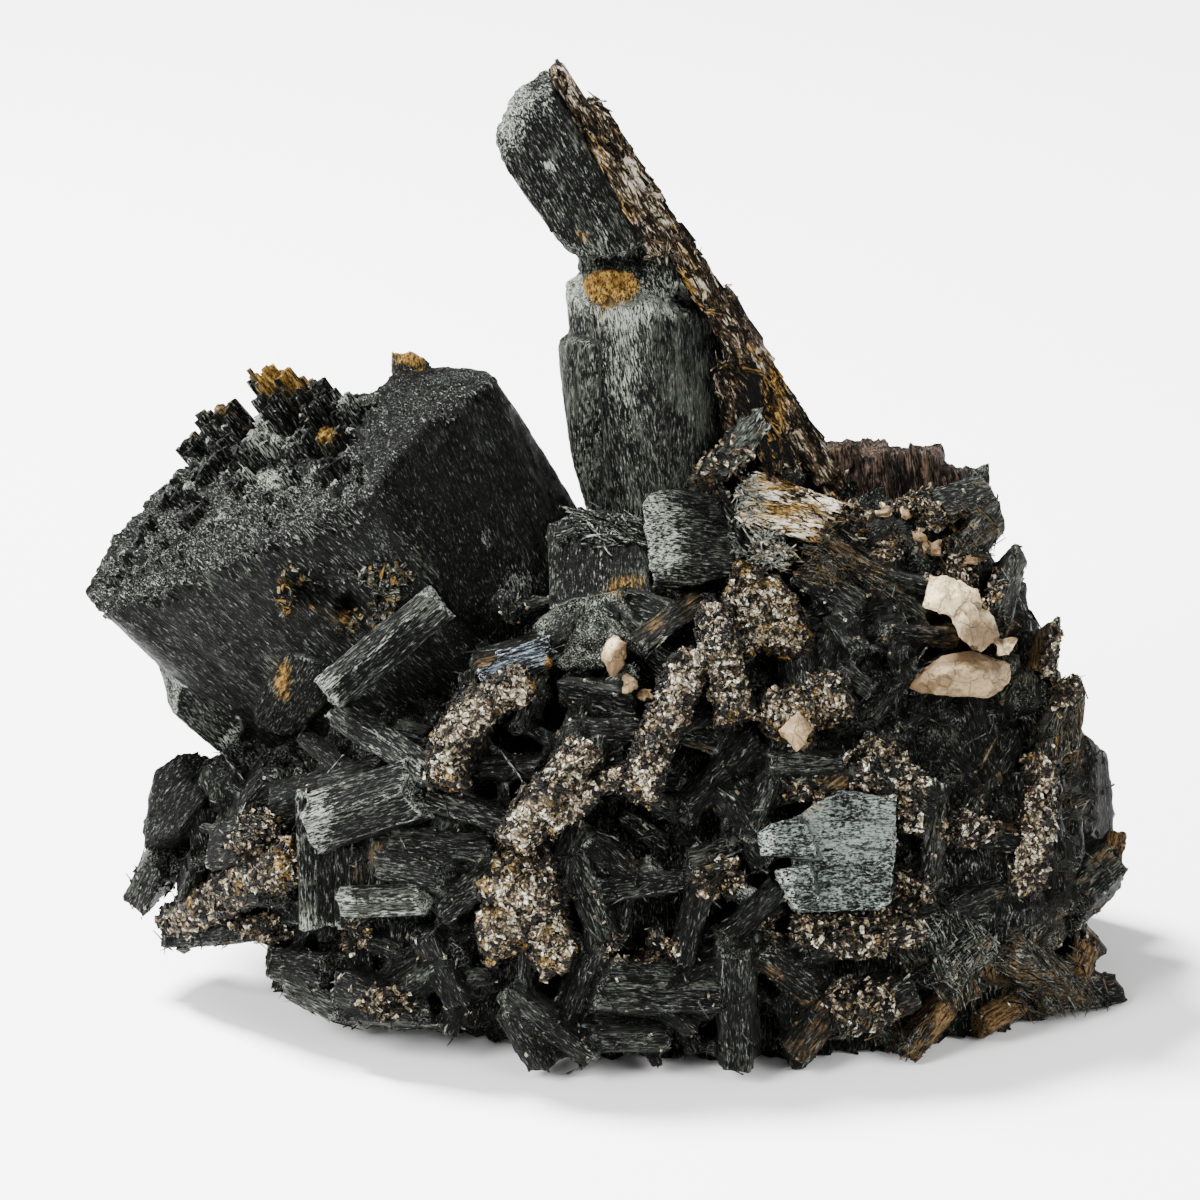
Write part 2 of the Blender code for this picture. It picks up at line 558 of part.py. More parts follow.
# foot and tip on the mass's front with their lifts, then width and depth
FRONT_PRISMS = [
    ((-16.8, 17.0, 1.5), (-8.2, 14.6, 1.5), 3.4, 4.0),
    ((-20.8, 12.7, 1.5), (-9.6, 12.1, 0.5), 3.3, 4.0),
    ((-21.6, 10.4, 1.5), (-14.0, 9.0, 1.5), 4.4, 4.0),
    ((-13.6, -3.6, 0.5), (-17.8, 4.8, 1.0), 4.0, 4.5),
    ((-9.4, -1.8, 1.0), (-0.4, -8.8, 1.5), 3.6, 4.0),
    ((-1.2, -6.9, 0.5), (7.2, -6.8, 0.5), 3.0, 5.0),
    ((-0.4, -1.8, 0.5), (12.2, -2.4, 0.5), 6.8, 6.0),
    ((13.9, -9.4, 0.5), (13.4, 3.6, 1.5), 4.6, 5.0),
    ((8.0, 0.8, 1.5), (10.6, 9.2, 2.0), 2.8, 4.0),
    ((0.0, 7.8, 0.5), (8.4, 8.8, 0.5), 2.8, 4.0),
    ((16.0, 20.8, 0.5), (24.6, 20.8, 1.0), 2.8, 4.0),
    ((-12.2, 20.2, 1.5), (-5.2, 20.2, 1.5), 2.8, 3.6),
    ((-3.2, 23.9, 1.0), (4.8, 23.8, 1.0), 3.2, 4.0),
    ((-4.0, 28.0, 1.0), (4.0, 26.4, 1.0), 3.4, 4.0),
    ((-5.0, 42.6, -1.0), (1.0, 45.0, -1.0), 3.0, 4.0),
    ((3.0, 31.5, 1.5), (10.4, 36.6, 1.0), 3.6, 4.4),
    ((22.0, 43.0, 1.0), (33.0, 34.5, 0.5), 3.0, 4.4),
    ((24.0, 40.0, 0.5), (33.6, 37.6, 1.0), 3.0, 4.0),
    ((20.0, 39.6, 1.5), (26.0, 35.6, 1.5), 4.6, 5.0),
    ((23.4, 34.8, 1.5), (26.6, 31.0, 2.0), 3.2, 4.4),
    ((27.0, 33.8, 1.0), (35.2, 33.2, 1.0), 2.8, 4.0),
    ((29.0, 32.2, 1.0), (31.8, 30.8, 1.5), 2.6, 3.4),
    ((25.6, 21.4, 1.0), (32.6, 15.4, 1.0), 6.0, 6.0),
    ((14.2, 12.0, 0.5), (17.2, 19.4, 1.0), 3.0, 4.0),
    ((8.4, 10.4, 0.0), (13.4, 12.0, 0.0), 3.6, 4.0),
    ((33.8, 14.6, 1.0), (40.6, 13.2, 1.0), 3.6, 4.4),
    ((32.6, 8.0, 0.5), (33.8, 18.8, 0.5), 3.0, 5.0),
    ((19.4, 2.6, 1.0), (32.6, 5.2, 1.0), 6.0, 6.0),
    ((22.4, -5.0, 1.0), (30.2, -2.0, 1.0), 5.4, 6.0),
    ((30.2, -8.6, 0.5), (34.8, -3.2, 1.0), 3.6, 5.0),
    ((36.6, -6.4, 0.5), (41.4, -3.4, 1.0), 3.6, 5.0),
    ((33.6, -0.8, 1.0), (38.2, 3.6, 1.0), 5.4, 5.0),
    ((39.2, 2.8, 1.0), (46.2, -1.6, 1.0), 5.0, 5.0),
    ((42.4, -3.2, 1.0), (49.8, -2.0, 0.5), 4.2, 5.0),
    ((46.6, -2.4, 1.0), (48.6, 3.0, 1.0), 4.0, 6.0),
    ((45.4, 5.8, 1.0), (50.6, 10.4, 1.5), 6.2, 6.0),
    ((50.2, 7.6, 1.5), (51.4, 13.4, 0.5), 2.8, 6.0),
    ((46.4, 20.8, 1.5), (47.2, 27.6, 1.0), 3.0, 6.0),
    ((43.4, 17.8, 1.0), (46.4, 27.6, 1.0), 3.6, 5.0),
    ((43.8, 28.6, 1.0), (44.6, 33.0, 0.5), 3.0, 5.0),
    ((38.8, 32.6, 1.5), (40.8, 39.4, 0.5), 3.6, 6.0),
    ((34.6, 40.0, 0.5), (38.0, 43.8, 0.0), 4.6, 7.0),
    ((30.0, 44.8, 0.5), (37.6, 47.0, -1.0), 5.0, 7.0),
    ((-45.0, 8.4, 0.5), (-42.6, 13.0, 0.5), 4.6, 6.0),
    ((-41.2, 7.6, 1.5), (-39.6, 12.4, 1.5), 2.8, 4.0),
    ((-37.0, 12.4, 0.0), (-32.0, 13.2, 0.5), 6.4, 7.0),
    ((-34.8, 7.6, 1.5), (-30.6, 7.2, 1.5), 3.0, 4.0),
    ((-41.0, 3.4, -1.0), (-30.6, 4.4, 0.0), 2.8, 5.0),
    ((-31.4, 0.6, 0.0), (-25.6, 0.0, 0.5), 4.4, 5.0),
    ((-30.0, -1.8, 0.5), (-24.6, -4.2, 0.5), 4.0, 5.0),
    ((-25.4, -1.6, 0.5), (-19.4, -3.8, 1.0), 5.0, 6.0),
    ((-24.0, -4.4, 0.5), (-16.4, -4.6, 0.5), 3.0, 6.0),
    ((-36.0, 14.4, -4.0), (-31.0, 21.0, -4.0), 5.6, 7.0),
]

# The mass's outline at each height, with no crystals on it: height, left, right, front, back
HEART_LEVELS = [
    (-3, -17, 46, 27.5, 27),
    (5, -32, 48, 29, 29),
    (13, -39, 50, 30, 29),
    (22, -35, 47, 28.5, 28),
    (31, -24, 44, 23, 26),
    (40, -9, 39, 14, 23),
    (47, 4, 34, 6.5, 19),
    (50, 14, 30, 0, 16),
]
HEART_SIDES = 10
HEART_OVERLAP = 0.5
ROOT = 5                 # how much deeper than it shows a front prism reaches into the heart
# height, how far round from the right side, and how many prisms
JUMBLE_RINGS = [(4, 150, 8), (14, 160, 9), (25, 185, 9), (35, 190, 7), (42, 195, 4)]
JUMBLE_START = 3
JUMBLE_SUNK = 1.5
FILL_ROWS = [(-5, -4, 34), (1, -18, 46), (7, -24, 48), (13, -26, 48), (19, -26, 46),
             (25, -16, 44), (31, -8, 42), (37, 8, 38), (43, 14, 34)]
FILL_STEP = 13.0


def mass_edge(angle, height, lift=0.0):
    """World place on the mass's outline at a height, in millimetres."""
    levels = np.array(HEART_LEVELS)
    left, right, ahead, behind = [np.interp(height, levels[:, 0], levels[:, k])
                                  for k in range(1, 5)]
    middle = (left + right) / 2, (behind - ahead) / 2
    half = (right - left) / 2 + lift, (behind + ahead) / 2 + lift
    way = math.cos(angle), math.sin(angle)
    return Vector([middle[k] + half[k] * math.copysign(abs(way[k]) ** 0.8, way[k])
                   for k in range(2)] + [height])


def heart():
    """The solid middle of the mass, in slices that run into each other."""
    rng = random.Random(71)
    rings = []
    for height, *_ in HEART_LEVELS:
        rings.append([mass_edge(math.tau * (k + rng.uniform(-0.2, 0.2)) / HEART_SIDES, height,
                                rng.uniform(-1.2, 0.8)) for k in range(HEART_SIDES)])
    slices = []
    for low, high in zip(rings, rings[1:]):
        corners = [corner - Vector((0, 0, HEART_OVERLAP)) for corner in low] + high
        slices.append([corner * MM for corner in corners])
    return slices


def jumble():
    """Prisms grown every way on the sides and the back of the mass."""
    rng = random.Random(81)
    bodies = []
    for height, arc, count in JUMBLE_RINGS:
        for k in range(count):
            angle = math.radians(arc * (k + rng.uniform(0.2, 0.8)) / count + JUMBLE_START)
            middle = mass_edge(angle, height + rng.uniform(-3, 3), -JUMBLE_SUNK)
            away = (middle - Vector((MOUND_MIDDLE, 0, height * 0.6))).normalized()
            lie = Vector([rng.uniform(-1, 1) for _ in range(3)])
            axis = (lie - away * lie.dot(away) * rng.uniform(0.5, 1.0)).normalized()
            bodies.append(wild_prism(middle, axis, rng.uniform(10, 17), rng.uniform(5, 8.5), rng))
    return bodies


def fill():
    """Small prisms that lie every way between the larger ones of the front."""
    rng = random.Random(91)
    bodies = []
    for up, left, right in FILL_ROWS:
        for k in range(int((right - left) / FILL_STEP) + 1):
            middle = Vector((left + FILL_STEP * (k + rng.uniform(-0.3, 0.3)),
                             up + rng.uniform(-2, 2), 0))
            angle = rng.uniform(0, math.pi)
            half = Vector((math.cos(angle), math.sin(angle), 0)) * rng.uniform(3.5, 6)
            foot, tip = middle - half, middle + half
            bodies.append(prism(front(foot.x, foot.y, -1.5 + rng.uniform(-1, 1)),
                                front(tip.x, tip.y, -1.5 + rng.uniform(-1, 1)),
                                rng.uniform(3, 5), rng.uniform(5, 7), turn=rng.uniform(0, 60),
                                sides=4, seed=rng.randrange(999)))
    return bodies


def wild_prism(middle, axis, length, width, rng):
    """A crystal of the jumble, placed in the world."""
    across = axis.orthogonal().normalized()
    behind = axis.cross(across)
    flat = rng.uniform(0.6, 1.0)
    turn = rng.uniform(0, math.tau)
    corners = []
    for way in (-1, 1):
        end = (middle + axis * (way * length / 2)) * MM
        for corner in ring(end, across, behind, width, width * flat, 5, turn, rng, 0.06):
            corners.append(corner + axis * (rng.uniform(-1, 1) * CHIP * width * MM))
    return corners


def matrix():
    """The mass: its heart, the prisms of its front, and the jumble behind."""
    bodies = heart()
    sink = Vector((0, 0, ROOT / 2))
    for k, (foot, tip, width, depth) in enumerate(FRONT_PRISMS):
        bodies.append(prism(Vector(front(*foot)) - sink, Vector(front(*tip)) - sink, width,
                            depth + ROOT, turn=8 * (k % 4), sides=5 if k % 3 else 4,
                            seed=100 + k))
    return bodies + fill() + jumble()


# ---- the specimen -----------------------------------------------------------------------------------

GREEN_BLACK = (0.035, 0.045, 0.042)
GREY_GREEN = (0.10, 0.125, 0.115)
PALE_GREEN = (0.22, 0.27, 0.25)
RUST = (0.20, 0.10, 0.045)
CRUST = (0.17, 0.135, 0.10)
CREAM = (0.62, 0.52, 0.42)
BROWN = (0.05, 0.035, 0.028)

# Name, maker, colour and roughness. A piece keeps its shape where a later one meets it.
PIECES = [
    ("stout_crystal", stout_crystal, GREY_GREEN, 0.75),
    ("tall_crystal", tall_crystal, GREY_GREEN, 0.7),
    ("rusty_slab", rusty_slab, RUST, 0.85),
    ("squat_crystal", squat_crystal, GREY_GREEN, 0.7),
    ("leaning_prism", leaning_prism, GREEN_BLACK, 0.6),
    ("crossing_prism", crossing_prism, GREEN_BLACK, 0.6),
    ("pale_plate", pale_plate, PALE_GREEN, 0.75),
    ("feldspar_star", feldspar_star, CREAM, 0.6),
    ("feldspar_bean", feldspar_bean, CREAM, 0.6),
    ("feldspar_chip", feldspar_chip, CREAM, 0.6),
    ("coated_rod_upper", coated_rod, CRUST, 0.85),
    ("coated_rod_middle", coated_rod, CRUST, 0.85),
    ("coated_rod_right", coated_rod, CRUST, 0.85),
    ("coated_rod_short", coated_rod, CRUST, 0.85),
    ("coated_rod_left", coated_rod, CRUST, 0.85),
    ("coated_rod_flank", coated_rod, CRUST, 0.85),
    ("coated_lump", coated_lump, CRUST, 0.85),
    ("coated_cluster", coated_lump, CRUST, 0.85),
    ("coated_knot", coated_lump, CRUST, 0.85),
    ("broad_prism", broad_prism, GREEN_BLACK, 0.65),
    ("low_prism", low_prism, GREEN_BLACK, 0.65),
    ("upright_lath", upright_lath, GREEN_BLACK, 0.65),
    ("dark_prism", dark_prism, GREEN_BLACK, 0.6),
    ("glossy_crystal", glossy_crystal, GREY_GREEN, 0.3),
    ("frayed_crystal", frayed_crystal, RUST, 0.8),
    ("hexagonal_crystal", hexagonal_crystal, GREY_GREEN, 0.75),
    ("brown_block", brown_block, BROWN, 0.85),
    ("matrix", matrix, GREEN_BLACK, 0.8),
]


def finish(name, colour, roughness):
    """Material of one piece."""
    material = bpy.data.materials.new(name)
    material.use_nodes = True
    shader = material.node_tree.nodes["Principled BSDF"]
    shader.inputs["Base Color"].default_value = (*colour, 1.0)
    shader.inputs["Roughness"].default_value = roughness
    shader.inputs["Metallic"].default_value = 0.0
    return material


def reach(bodies):
    """Lowest and highest corner of a piece's bodies."""
    corners = [corner for body in bodies for corner in body]
    return (Vector([min(c[k] for c in corners) for k in range(3)]),
            Vector([max(c[k] for c in corners) for k in range(3)]))


def meet(one, other):
    """Whether two pieces come within a fit's gap of each other."""
    slack = 2 * FIT_GAP * MM
    return all(one[0][k] < other[1][k] + slack and other[0][k] < one[1][k] + slack
               for k in range(3))


def build():
    """Make each piece, and cut sockets in it for the pieces named before it."""
    for old in list(bpy.data.objects):
        bpy.data.objects.remove(old)
    made = []
    for name, maker, colour, roughness in PIECES:
        bodies = maker(name) if maker in (coated_rod, coated_lump) else maker()
        box = reach(bodies)
        thing = fuse(name, bodies)
        if maker is matrix:
            tidy(thing)
            thin(thing, MATRIX_KEPT)
        for other_name, other_bodies, other_box in made:
            if meet(box, other_box):
                combine(thing, fuse(other_name + "_socket", other_bodies, FIT_GAP * MM),
                        "DIFFERENCE")
        if box[0].z < 0:
            combine(thing, ground(), "DIFFERENCE")
        tidy(thing)
        thing.data.materials.clear()
        thing.data.materials.append(finish(name, colour, roughness))
        made.append((name, bodies, box))


build()
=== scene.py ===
import math
import random

import bmesh
import bpy
import numpy as np
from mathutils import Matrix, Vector


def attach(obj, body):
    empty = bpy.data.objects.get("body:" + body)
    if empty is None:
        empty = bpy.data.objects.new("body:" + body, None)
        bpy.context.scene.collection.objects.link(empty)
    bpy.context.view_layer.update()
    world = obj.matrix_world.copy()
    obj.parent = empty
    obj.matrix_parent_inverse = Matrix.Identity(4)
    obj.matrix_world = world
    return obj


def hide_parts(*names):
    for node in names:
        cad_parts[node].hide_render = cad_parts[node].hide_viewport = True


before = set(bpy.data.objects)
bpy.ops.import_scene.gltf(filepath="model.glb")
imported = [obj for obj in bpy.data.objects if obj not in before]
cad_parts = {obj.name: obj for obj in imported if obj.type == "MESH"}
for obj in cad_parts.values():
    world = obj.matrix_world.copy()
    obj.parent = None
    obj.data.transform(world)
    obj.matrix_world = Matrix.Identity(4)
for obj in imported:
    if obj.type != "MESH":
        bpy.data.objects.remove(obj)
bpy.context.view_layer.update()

# ---- The table, the light and the view -------------------------------------
# The specimen stands on a plain white table under a broad soft lamp. It is looked at from a little
# above, square on to a drawing board that leans back behind it, on which its crystals are placed:
# millimetres right of the middle line, up the board, and out towards the viewer.
MM = 0.001
BOARD_LEAN = math.radians(18)
BOARD_MIDDLE = 36.9
EYE_DISTANCE = 700.0
VIEW_WIDTH = 120.0
SENSOR = 36.0
LAMP_AIM = Vector((0, 0, 0.04))
LEAN_SIN, LEAN_COS = math.sin(BOARD_LEAN), math.cos(BOARD_LEAN)
OUTWARD = Vector((0.0, -LEAN_COS, LEAN_SIN))


def board(right, up, out):
    """World place, in metres, of a place on the board, in millimetres."""
    nearer = 1 - out / EYE_DISTANCE
    x = right * nearer
    rise = BOARD_MIDDLE + (up - BOARD_MIDDLE) * nearer
    return Vector((x, rise * LEAN_SIN - out * LEAN_COS, rise * LEAN_COS + out * LEAN_SIN)) * MM


def link(thing):
    bpy.context.collection.objects.link(thing)
    return thing


def lamp(name, place, size, power):
    """A soft square lamp at a place in metres, aimed at the specimen."""
    light = bpy.data.lights.new(name, "AREA")
    light.size = size
    light.energy = power
    thing = link(bpy.data.objects.new(name, light))
    thing.location = place
    thing.rotation_euler = (Vector(place) - LAMP_AIM).to_track_quat("Z", "Y").to_euler()


view = bpy.data.cameras.new("view")
view.sensor_width = SENSOR
view.lens = SENSOR * EYE_DISTANCE / VIEW_WIDTH
view.clip_start = 0.01
camera = link(bpy.data.objects.new("view", view))
camera.location = board(0, BOARD_MIDDLE, 0) + OUTWARD * EYE_DISTANCE * MM
camera.rotation_euler = OUTWARD.to_track_quat("Z", "Y").to_euler()
bpy.context.scene.camera = camera

for name, place, size, power in (("main_lamp", (-0.34, 0.20, 0.76), 0.20, 46),
                                 ("left_lamp", (-0.50, -0.60, 0.50), 0.35, 17),
                                 ("right_lamp", (0.50, -0.65, 0.45), 0.40, 7)):
    lamp(name, place, size, power)

sky = bpy.data.worlds.new("sky")
sky.use_nodes = True
glow = sky.node_tree.nodes["Background"].inputs
glow["Color"].default_value = (1, 1, 1, 1)
glow["Strength"].default_value = 0.60
bpy.context.scene.world = sky

TABLE_HALF = 1.5
TABLE_WHITE = (0.97, 0.97, 0.97, 1)
TABLE_DROP = 0.00005     # the table top lies this far under the specimen, so they don't flicker
bm = bmesh.new()
bmesh.ops.create_grid(bm, x_segments=1, y_segments=1, size=TABLE_HALF)
bmesh.ops.translate(bm, vec=(0, 0, -TABLE_DROP), verts=bm.verts[:])
sheet_mesh = bpy.data.meshes.new("table_top")
bm.to_mesh(sheet_mesh)
bm.free()
table = link(bpy.data.objects.new("table_top", sheet_mesh))
white = bpy.data.materials.new("table_white")
white.use_nodes = True
paper = white.node_tree.nodes["Principled BSDF"].inputs
paper["Base Color"].default_value = TABLE_WHITE
paper["Roughness"].default_value = 0.9
sheet_mesh.materials.append(white)

# ---- The stout double crystal ----------------------------------------------
# Two lobes of dark green-black amphibole grown side by side, their fibres fanning up to the left.
# The left one ends in a broken surface of short prism stubs in grey fuzz; the right one in a saddle
# with a rusty stub. Its edges are frosted pale where the fibres have split.
CHIP = 0.22              # unevenness of a broken end, as a share of the crystal's width
NEIGHBOUR = 1.2          # how far outside a crystal a skin point may lie and still belong to it
SAME_FACE = 0.93         # faces whose directions agree this well count as one
CHIPPED = 1.2            # how far in from an edge it is chipped
RUBBED = 0.55            # how far in from an edge it is rubbed pale
END_FACE = 0.6           # a face that looks along the fibres this much is an end


def ring(middle, across, behind, width, depth, sides, turn, rng, rough):
    """Corners of a crystal's cross-section, with a little unevenness."""
    corners = []
    for k in range(sides):
        angle = turn + math.tau * (k + 0.5) / sides
        swell = 1 + rough * rng.uniform(-1, 1)
        corners.append(middle + across * (math.cos(angle) * width / 2 * MM * swell)
                       + behind * (math.sin(angle) * depth / 2 * MM * swell))
    return corners


def prism(foot, tip, width, depth, turn=0.0, sides=6, taper=1.0, seed=1, rough=0.05, **looks):
    """A crystal from foot to tip, with flat sides and broken ends."""
    rng = random.Random(seed)
    start, end = board(*foot), board(*tip)
    axis = (end - start).normalized()
    across = axis.cross(OUTWARD).normalized()
    behind = across.cross(axis)
    swing = math.radians(turn)
    corners = []
    for middle, scale, way in ((start, 1.0, -1), (end, taper, 1)):
        for corner in ring(middle, across, behind, width * scale, depth * scale, sides, swing,
                           rng, rough):
            corners.append(corner + axis * (way * rng.uniform(-1, 0.4) * CHIP * width * MM))
    return Crystal(corners, axis, **looks)


def hull(corners):
    """The convex hull of some corners; what lies below the table is cut away flat."""
    bm = bmesh.new()
    for corner in corners:
        bm.verts.new(corner)
    found = bmesh.ops.convex_hull(bm, input=bm.verts[:])
    inside = {vert for vert in found["geom_interior"] + found["geom_unused"]
              if isinstance(vert, bmesh.types.BMVert)}
    bmesh.ops.delete(bm, geom=list(inside), context="VERTS")
    if corners[:, 2].min() < 0:
        bmesh.ops.bisect_plane(bm, geom=bm.verts[:] + bm.edges[:] + bm.faces[:],
                               plane_co=(0, 0, 0), plane_no=(0, 0, 1), clear_inner=True)
        bmesh.ops.holes_fill(bm, edges=bm.edges[:])
    bmesh.ops.recalc_face_normals(bm, faces=bm.faces[:])
    bm.verts.index_update()
    return bm


def flat_sides(bm):
    """Directions and offsets of a hull's flat sides, the largest first."""
    normals, offsets = [], []
    for face in sorted(bm.faces, key=lambda f: -f.calc_area()):
        normal = np.array(face.normal)
        if all(normal @ other < SAME_FACE for other in normals):
            normals.append(normal)
            offsets.append(normal @ np.array(face.verts[0].co))
    return np.array(normals), np.array(offsets)


class Crystal:
    """One convex crystal in millimetres: its flat sides, fibre direction and finish.

    Shade, rust and frost tint it. Its sides have grooves and pits, its ends are broken into steps
    of cells, and a fuzz creeps over the sides from the ends.
    """

    def __init__(self, corners, axis, shade=0.5, rust=0.0, frost=1.0, grooves=0.14, pits=0.10,
                 steps=0.9, cell=1.1, fuzz=0.15, creep=0.6):
        bm = hull(np.array(corners) / MM)
        self.verts = np.array([vert.co for vert in bm.verts])
        self.faces = [[vert.index for vert in face.verts] for face in bm.faces]
        self.normals, self.offsets = flat_sides(bm)
        bm.free()
        self.axis = np.array(Vector(axis).normalized())
        across = np.array(Vector(axis).orthogonal().normalized())
        self.turned = np.array([self.axis, across, np.cross(self.axis, across)]).T
        self.origin = self.verts.mean(axis=0)
        self.finish = [shade, rust, frost, grooves, pits, steps, cell, fuzz, creep]


def block(corners, foot, tip, **looks):
    """A crystal from its own corners, its fibres running from foot to tip."""
    return Crystal([board(*corner) for corner in corners], board(*tip) - board(*foot), **looks)


def hashed(cells, seed):
    """A number from 0 to 1 for each whole-number cell."""
    x, y, z = (cells[:, k].astype(np.int64) for k in range(3))
    n = (x * 73856093) ^ (y * 19349663) ^ (z * 83492791) ^ (seed * 40503)
    n = ((n ^ (n >> 13)) * 1274126177) & 0xFFFFFFFF
    n = ((n ^ (n >> 15)) * 2246822519) & 0xFFFFFFFF
    return ((n ^ (n >> 16)) & 0xFFFFFF) / 0xFFFFFF


def noise(places, seed):
    """Smooth noise from -1 to 1 with a wavelength of about one unit."""
    low = np.floor(places)
    part = places - low
    part = part * part * (3 - 2 * part)
    total = np.zeros(len(places))
    for corner in range(8):
        step = np.array([corner & 1, corner >> 1 & 1, corner >> 2 & 1])
        share = np.prod(np.where(step, part, 1 - part), axis=1)
        total += share * hashed(low + step, seed)
    return total * 2 - 1


def layered(places, seed, layers):
    """Noise with finer and fainter layers on it."""
    return sum(noise(places * 2 ** k, seed + k) / 2 ** k for k in range(layers)) / 1.6


class Skin:
    """A surface in millimetres, with what its finish needs at each point."""

    def __init__(self, points, ways, faces, smooth, fibre, looks):
        self.points, self.ways, self.faces, self.smooth = points, ways, faces, smooth
        self.fibre, self.looks = fibre, looks


def closed_surface(crystals, voxel, worn):
    """Points, outward directions and faces of one even surface round all the crystals."""
    whole = bpy.data.meshes.new("whole")
    points = np.concatenate([crystal.verts for crystal in crystals]) * MM
    faces, first = [], 0
    for crystal in crystals:
        faces += [[first + k for k in face] for face in crystal.faces]
        first += len(crystal.verts)
    whole.from_pydata(points.tolist(), [], faces)
    thing = link(bpy.data.objects.new("whole", whole))
    remesh = thing.modifiers.new("even", "REMESH")
    remesh.mode = "VOXEL"
    remesh.voxel_size = voxel * MM
    rounding = thing.modifiers.new("rounding", "SMOOTH")
    rounding.factor = 0.5
    rounding.iterations = worn
    fine = bpy.data.meshes.new_from_object(
        thing.evaluated_get(bpy.context.evaluated_depsgraph_get()))
    bpy.data.objects.remove(thing)
    count = len(fine.vertices)
    places, ways = np.empty(count * 3, np.float32), np.empty(count * 3, np.float32)
    fine.vertices.foreach_get("co", places)
    fine.vertex_normals.foreach_get("vector", ways)
    corners = np.empty(len(fine.loops), np.int32)
    fine.loops.foreach_get("vertex_index", corners)
    quads = corners.reshape(-1, 4)
    bpy.data.meshes.remove(fine)
    bpy.data.meshes.remove(whole)
    return places.reshape(-1, 3).astype(float) / MM, ways.reshape(-1, 3).astype(float), quads


def owners(points, crystals):
    """Which crystal's face each point lies on."""
    best, owner = np.full(len(points), np.inf), np.zeros(len(points), int)
    for k, crystal in enumerate(crystals):
        low, high = crystal.verts.min(axis=0) - NEIGHBOUR, crystal.verts.max(axis=0) + NEIGHBOUR
        near = np.nonzero(((points > low) & (points < high)).all(axis=1))[0]
        away = np.abs((points[near] @ crystal.normals.T - crystal.offsets).max(axis=1))
        closer = away < best[near]
        best[near[closer]] = away[closer]
        owner[near[closer]] = k
    return owner


def grown(crystals, voxel, seed=0, worn=1):
    """The crystals as one skin with grooved sides, chipped edges and splintered ends."""
    points, ways, quads = closed_surface(crystals, voxel, worn)
    owner = owners(points, crystals)
    fibre, looks = np.zeros_like(points), np.zeros_like(points)
    moved = points.copy()
    for k, crystal in enumerate(crystals):
        mine = np.nonzero(owner == k)[0]
        if len(mine):
            place, way = points[mine], ways[mine]
            fibre[mine], looks[mine], moved[mine] = weathered(crystal, place, way, seed + k)
    return Skin(moved, ways, [quads], [True], fibre, looks)


def weathered(crystal, points, ways, seed):
    """Fibre coordinates, finish (wear, rust, shade) and weathered places of one crystal."""
    shade, rust, frost, grooves, pits, steps, cell, fuzz, creep = crystal.finish
    local = (points - crystal.origin) @ crystal.turned
    local = local + np.array([seed * 7.3 % 50, seed * 3.1 % 40, seed * 5.7 % 40])
    slack = np.abs(crystal.offsets - points @ crystal.normals.T)
    order = np.argsort(slack, axis=1)
    edge = np.take_along_axis(slack, order[:, 1:2], axis=1)[:, 0]
    tilt = np.abs(crystal.normals @ crystal.axis)
    end = np.clip((tilt[order[:, 0]] - 0.5) / 0.2, 0, 1)
    groove = (layered(local * (0.09, 1.3, 1.3), seed, 2)
              + 0.8 * noise(local * (0.03, 0.4, 0.4), seed + 9))
    pit = layered(local * 1.1, seed + 3, 3)
    patch = noise(local * (0.3, 0.6, 0.6), seed + 5)
    from_end = slack[:, tilt >= min(END_FACE, tilt.max())].min(axis=1)
    fuzzy = np.maximum(end, np.clip(1 - from_end / creep + 0.9 * patch, 0, 1))
    # An edge is chipped in patches, and an end is broken into stepped bundles of fibres.
    chip = np.clip(1 - edge / CHIPPED, 0, 1) * np.clip(patch, 0, 1)
    bent = local + 0.5 * np.stack([noise(local * 0.8, seed + 20 + k) for k in range(3)], axis=1)
    bundle = np.floor(bent * (0, 1 / cell, 1 / cell))
    height = hashed(bundle, seed + 7) * 0.7 + 0.3 * hashed(np.floor(bent * (0, 2.2, 2.2)), seed)
    out = np.sign((points - crystal.origin) @ crystal.axis)[:, None] * crystal.axis
    push = grooves * groove * (1 - 0.6 * end) + (pits + fuzzy * fuzz) * pit - 0.6 * chip
    moved = points + push[:, None] * ways + (end * steps * (height - 0.75))[:, None] * out
    rubbed = np.clip(1 - edge / RUBBED, 0, 1) * np.clip(0.45 + 0.5 * patch, 0, 1)
    wear = np.clip(rubbed + fuzzy * (0.55 + 0.4 * pit), 0, 1) * frost
    looks = np.stack([wear, np.full(len(points), rust), np.full(len(points), shade)], axis=1)
    return local, looks, moved


def sharp(crystals):
    """Small crystals left with crisp faces, as one skin."""
    points, faces, fibre, finish = [], [], [], []
    first = 0
    for k, crystal in enumerate(crystals):
        shade, rust, frost = crystal.finish[:3]
        local = (crystal.verts - crystal.origin) @ crystal.turned
        tip = np.abs(local[:, 0]) / max(np.abs(local[:, 0]).max(), 0.01)
        points.append(crystal.verts)
        fibre.append(local + (k * 3.7 % 60))
        finish.append(np.stack([np.clip(tip * frost * 0.6, 0, 1), np.full(len(tip), rust),
                                np.full(len(tip), shade)], axis=1))
        faces.append(np.array(crystal.faces) + first)
        first += len(crystal.verts)
    points = np.concatenate(points)
    return Skin(points, np.zeros_like(points), [np.concatenate(faces)], [False],
                np.concatenate(fibre), np.concatenate(finish))


def together(skins):
    """Several skins as one."""
    faces, smooth, first = [], [], 0
    for skin in skins:
        faces += [group + first for group in skin.faces]
        smooth += skin.smooth
        first += len(skin.points)
    return Skin(np.concatenate([skin.points for skin in skins]),
                np.concatenate([skin.ways for skin in skins]), faces, smooth,
                np.concatenate([skin.fibre for skin in skins]),
                np.concatenate([skin.looks for skin in skins]))


